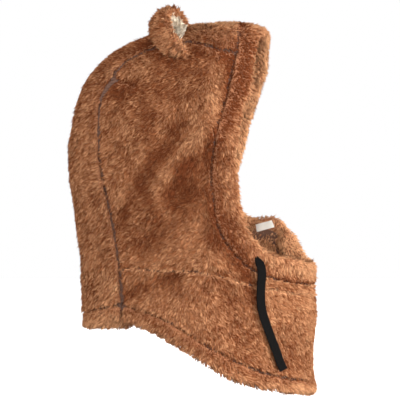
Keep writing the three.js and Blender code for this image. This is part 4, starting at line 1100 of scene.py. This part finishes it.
# Lining feet: below the open side of each ear the cream lining runs on as a small flap,
# which stands beside the ear's inner edge and is sewn down onto the crown.
# Each row of it: middle and height in the side view, half its length, and how far out it is
foot_rows = (
    (0.452, 0.987, 0.024, 0.001), (0.452, 0.981, 0.024, 0.003), (0.454, 0.974, 0.021, 0.0045),
    (0.458, 0.966, 0.013, 0.0045), (0.461, 0.959, 0.007, 0.003), (0.464, 0.954, 0.003, 0.0015),
)
foot_inset = 0.0235
for key, side in (("right", -1), ("left", 1)):
    rings = []
    for middle, up, half, lift in foot_rows:
        aheads = middle + half * np.linspace(-1, 1, 7)
        row = on_form(aheads, np.full(7, up), side)
        row[:, 0] = side * np.maximum(np.abs(row[:, 0]), foot_inset)
        off = unit(np.array([side, 0, 0.7]))
        rings.append(np.concatenate([row + off * lift, (row - off * 0.0006)[::-1]]))
    ground = body_of_rings(f"ear_foot_{key}_cloth", np.array(rings), cream_knit)
    points = points_of(ground.data)
    # Their tone is set paler than the linings': painted light on a flap that lies in the ear's shade and
    # faces away from the lamps
    comb(ground.data, np.ones(len(points)), np.ones(len(points)), np.full(len(points), -1.0), 1.6, 0.3)
    pile_count += 1
    pile = grow_pile(
        ground, f"ear_foot_{key}_pile", locks_per_square_metre=500 / area_of(ground.data),
        lock_length=0.0032, lock_width=0.0014, tuft_pull=0.4, tuft_shade=0.3, seed=pile_count,
        finish=cream_pile)
    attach(ground, "root")

# Label: a short folded end of smooth off-white woven tape, sewn by its lower edge into the
# left casing's inner stitch line. It is bare.
label_weave = bpy.data.materials.new("label_weave")
label_weave.use_nodes = True
woven = label_weave.node_tree
woven_shader = woven.nodes["Principled BSDF"]
woven_shader.inputs["Roughness"].default_value = 0.6
woven_shader.inputs["Specular IOR Level"].default_value = 0.3
woven_place = woven.nodes.new("ShaderNodeUVMap")
woven_place.uv_map = "label"
warp, weft = woven.nodes.new("ShaderNodeTexWave"), woven.nodes.new("ShaderNodeTexWave")
warp.bands_direction, weft.bands_direction = "X", "Y"
warp.inputs["Scale"].default_value, weft.inputs["Scale"].default_value = 620, 420
threads_mixed = woven.nodes.new("ShaderNodeMath")
threads_mixed.operation = "MULTIPLY"
woven_colours = woven.nodes.new("ShaderNodeValToRGB")
woven_colours.color_ramp.elements[0].color = (0.78, 0.74, 0.65, 1)
woven_colours.color_ramp.elements[1].color = (0.96, 0.94, 0.88, 1)
woven_bump = woven.nodes.new("ShaderNodeBump")
woven_bump.inputs["Strength"].default_value = 0.5
woven_bump.inputs["Distance"].default_value = 0.0002
for wave, input_at in ((warp, 0), (weft, 1)):
    woven.links.new(woven_place.outputs["UV"], wave.inputs["Vector"])
    woven.links.new(wave.outputs["Fac"], threads_mixed.inputs[input_at])
woven.links.new(threads_mixed.outputs[0], woven_colours.inputs["Fac"])
woven.links.new(woven_colours.outputs["Color"], woven_shader.inputs["Base Color"])
woven.links.new(threads_mixed.outputs[0], woven_bump.inputs["Height"])
woven.links.new(woven_bump.outputs["Normal"], woven_shader.inputs["Normal"])
label_corners = np.array([
    [(0.0573, -0.0405, -0.2217), (0.0566, -0.0392, -0.2134)],
    [(0.0492, -0.0596, -0.2162), (0.0484, -0.0565, -0.2085)],
])
label_long, label_tall, label_half = 0.0185, 0.008, 0.0003
rings, label_uv = [], []
for along in np.linspace(0, 1, 13):
    low, high = label_corners[0] * (1 - along) + label_corners[1] * along
    out = unit(np.cross(label_corners[1, 0] - label_corners[0, 0], high - low))
    ring = []
    for face_side, climbs in ((1, np.linspace(0, 1, 7)), (-1, np.linspace(1, 0, 7))):
        for climb in climbs:
            curl = 0.0006 * math.sin(math.pi * along) + 0.0005 * climb * climb + 0.0002 * math.sin(9 * along)
            ring.append(low + (high - low) * climb + out * (label_half * face_side + curl))
            label_uv.append((along * label_long, climb * label_tall))
    rings.append(ring)
label = body_of_rings("label_tape", np.array(rings), label_weave)
label_map = label.data.uv_layers.new(name="label")
for loop in label.data.loops:
    label_map.data[loop.index].uv = label_uv[loop.vertex_index]
label.data.shade_smooth()
label.data.set_sharp_from_angle(angle=0.6)
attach(label, "root")
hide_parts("label")

bpy.data.objects.remove(lock)
bpy.data.objects.remove(thread_bar)
for leftover in [m for m in bpy.data.meshes if m.users == 0]:
    bpy.data.meshes.remove(leftover)
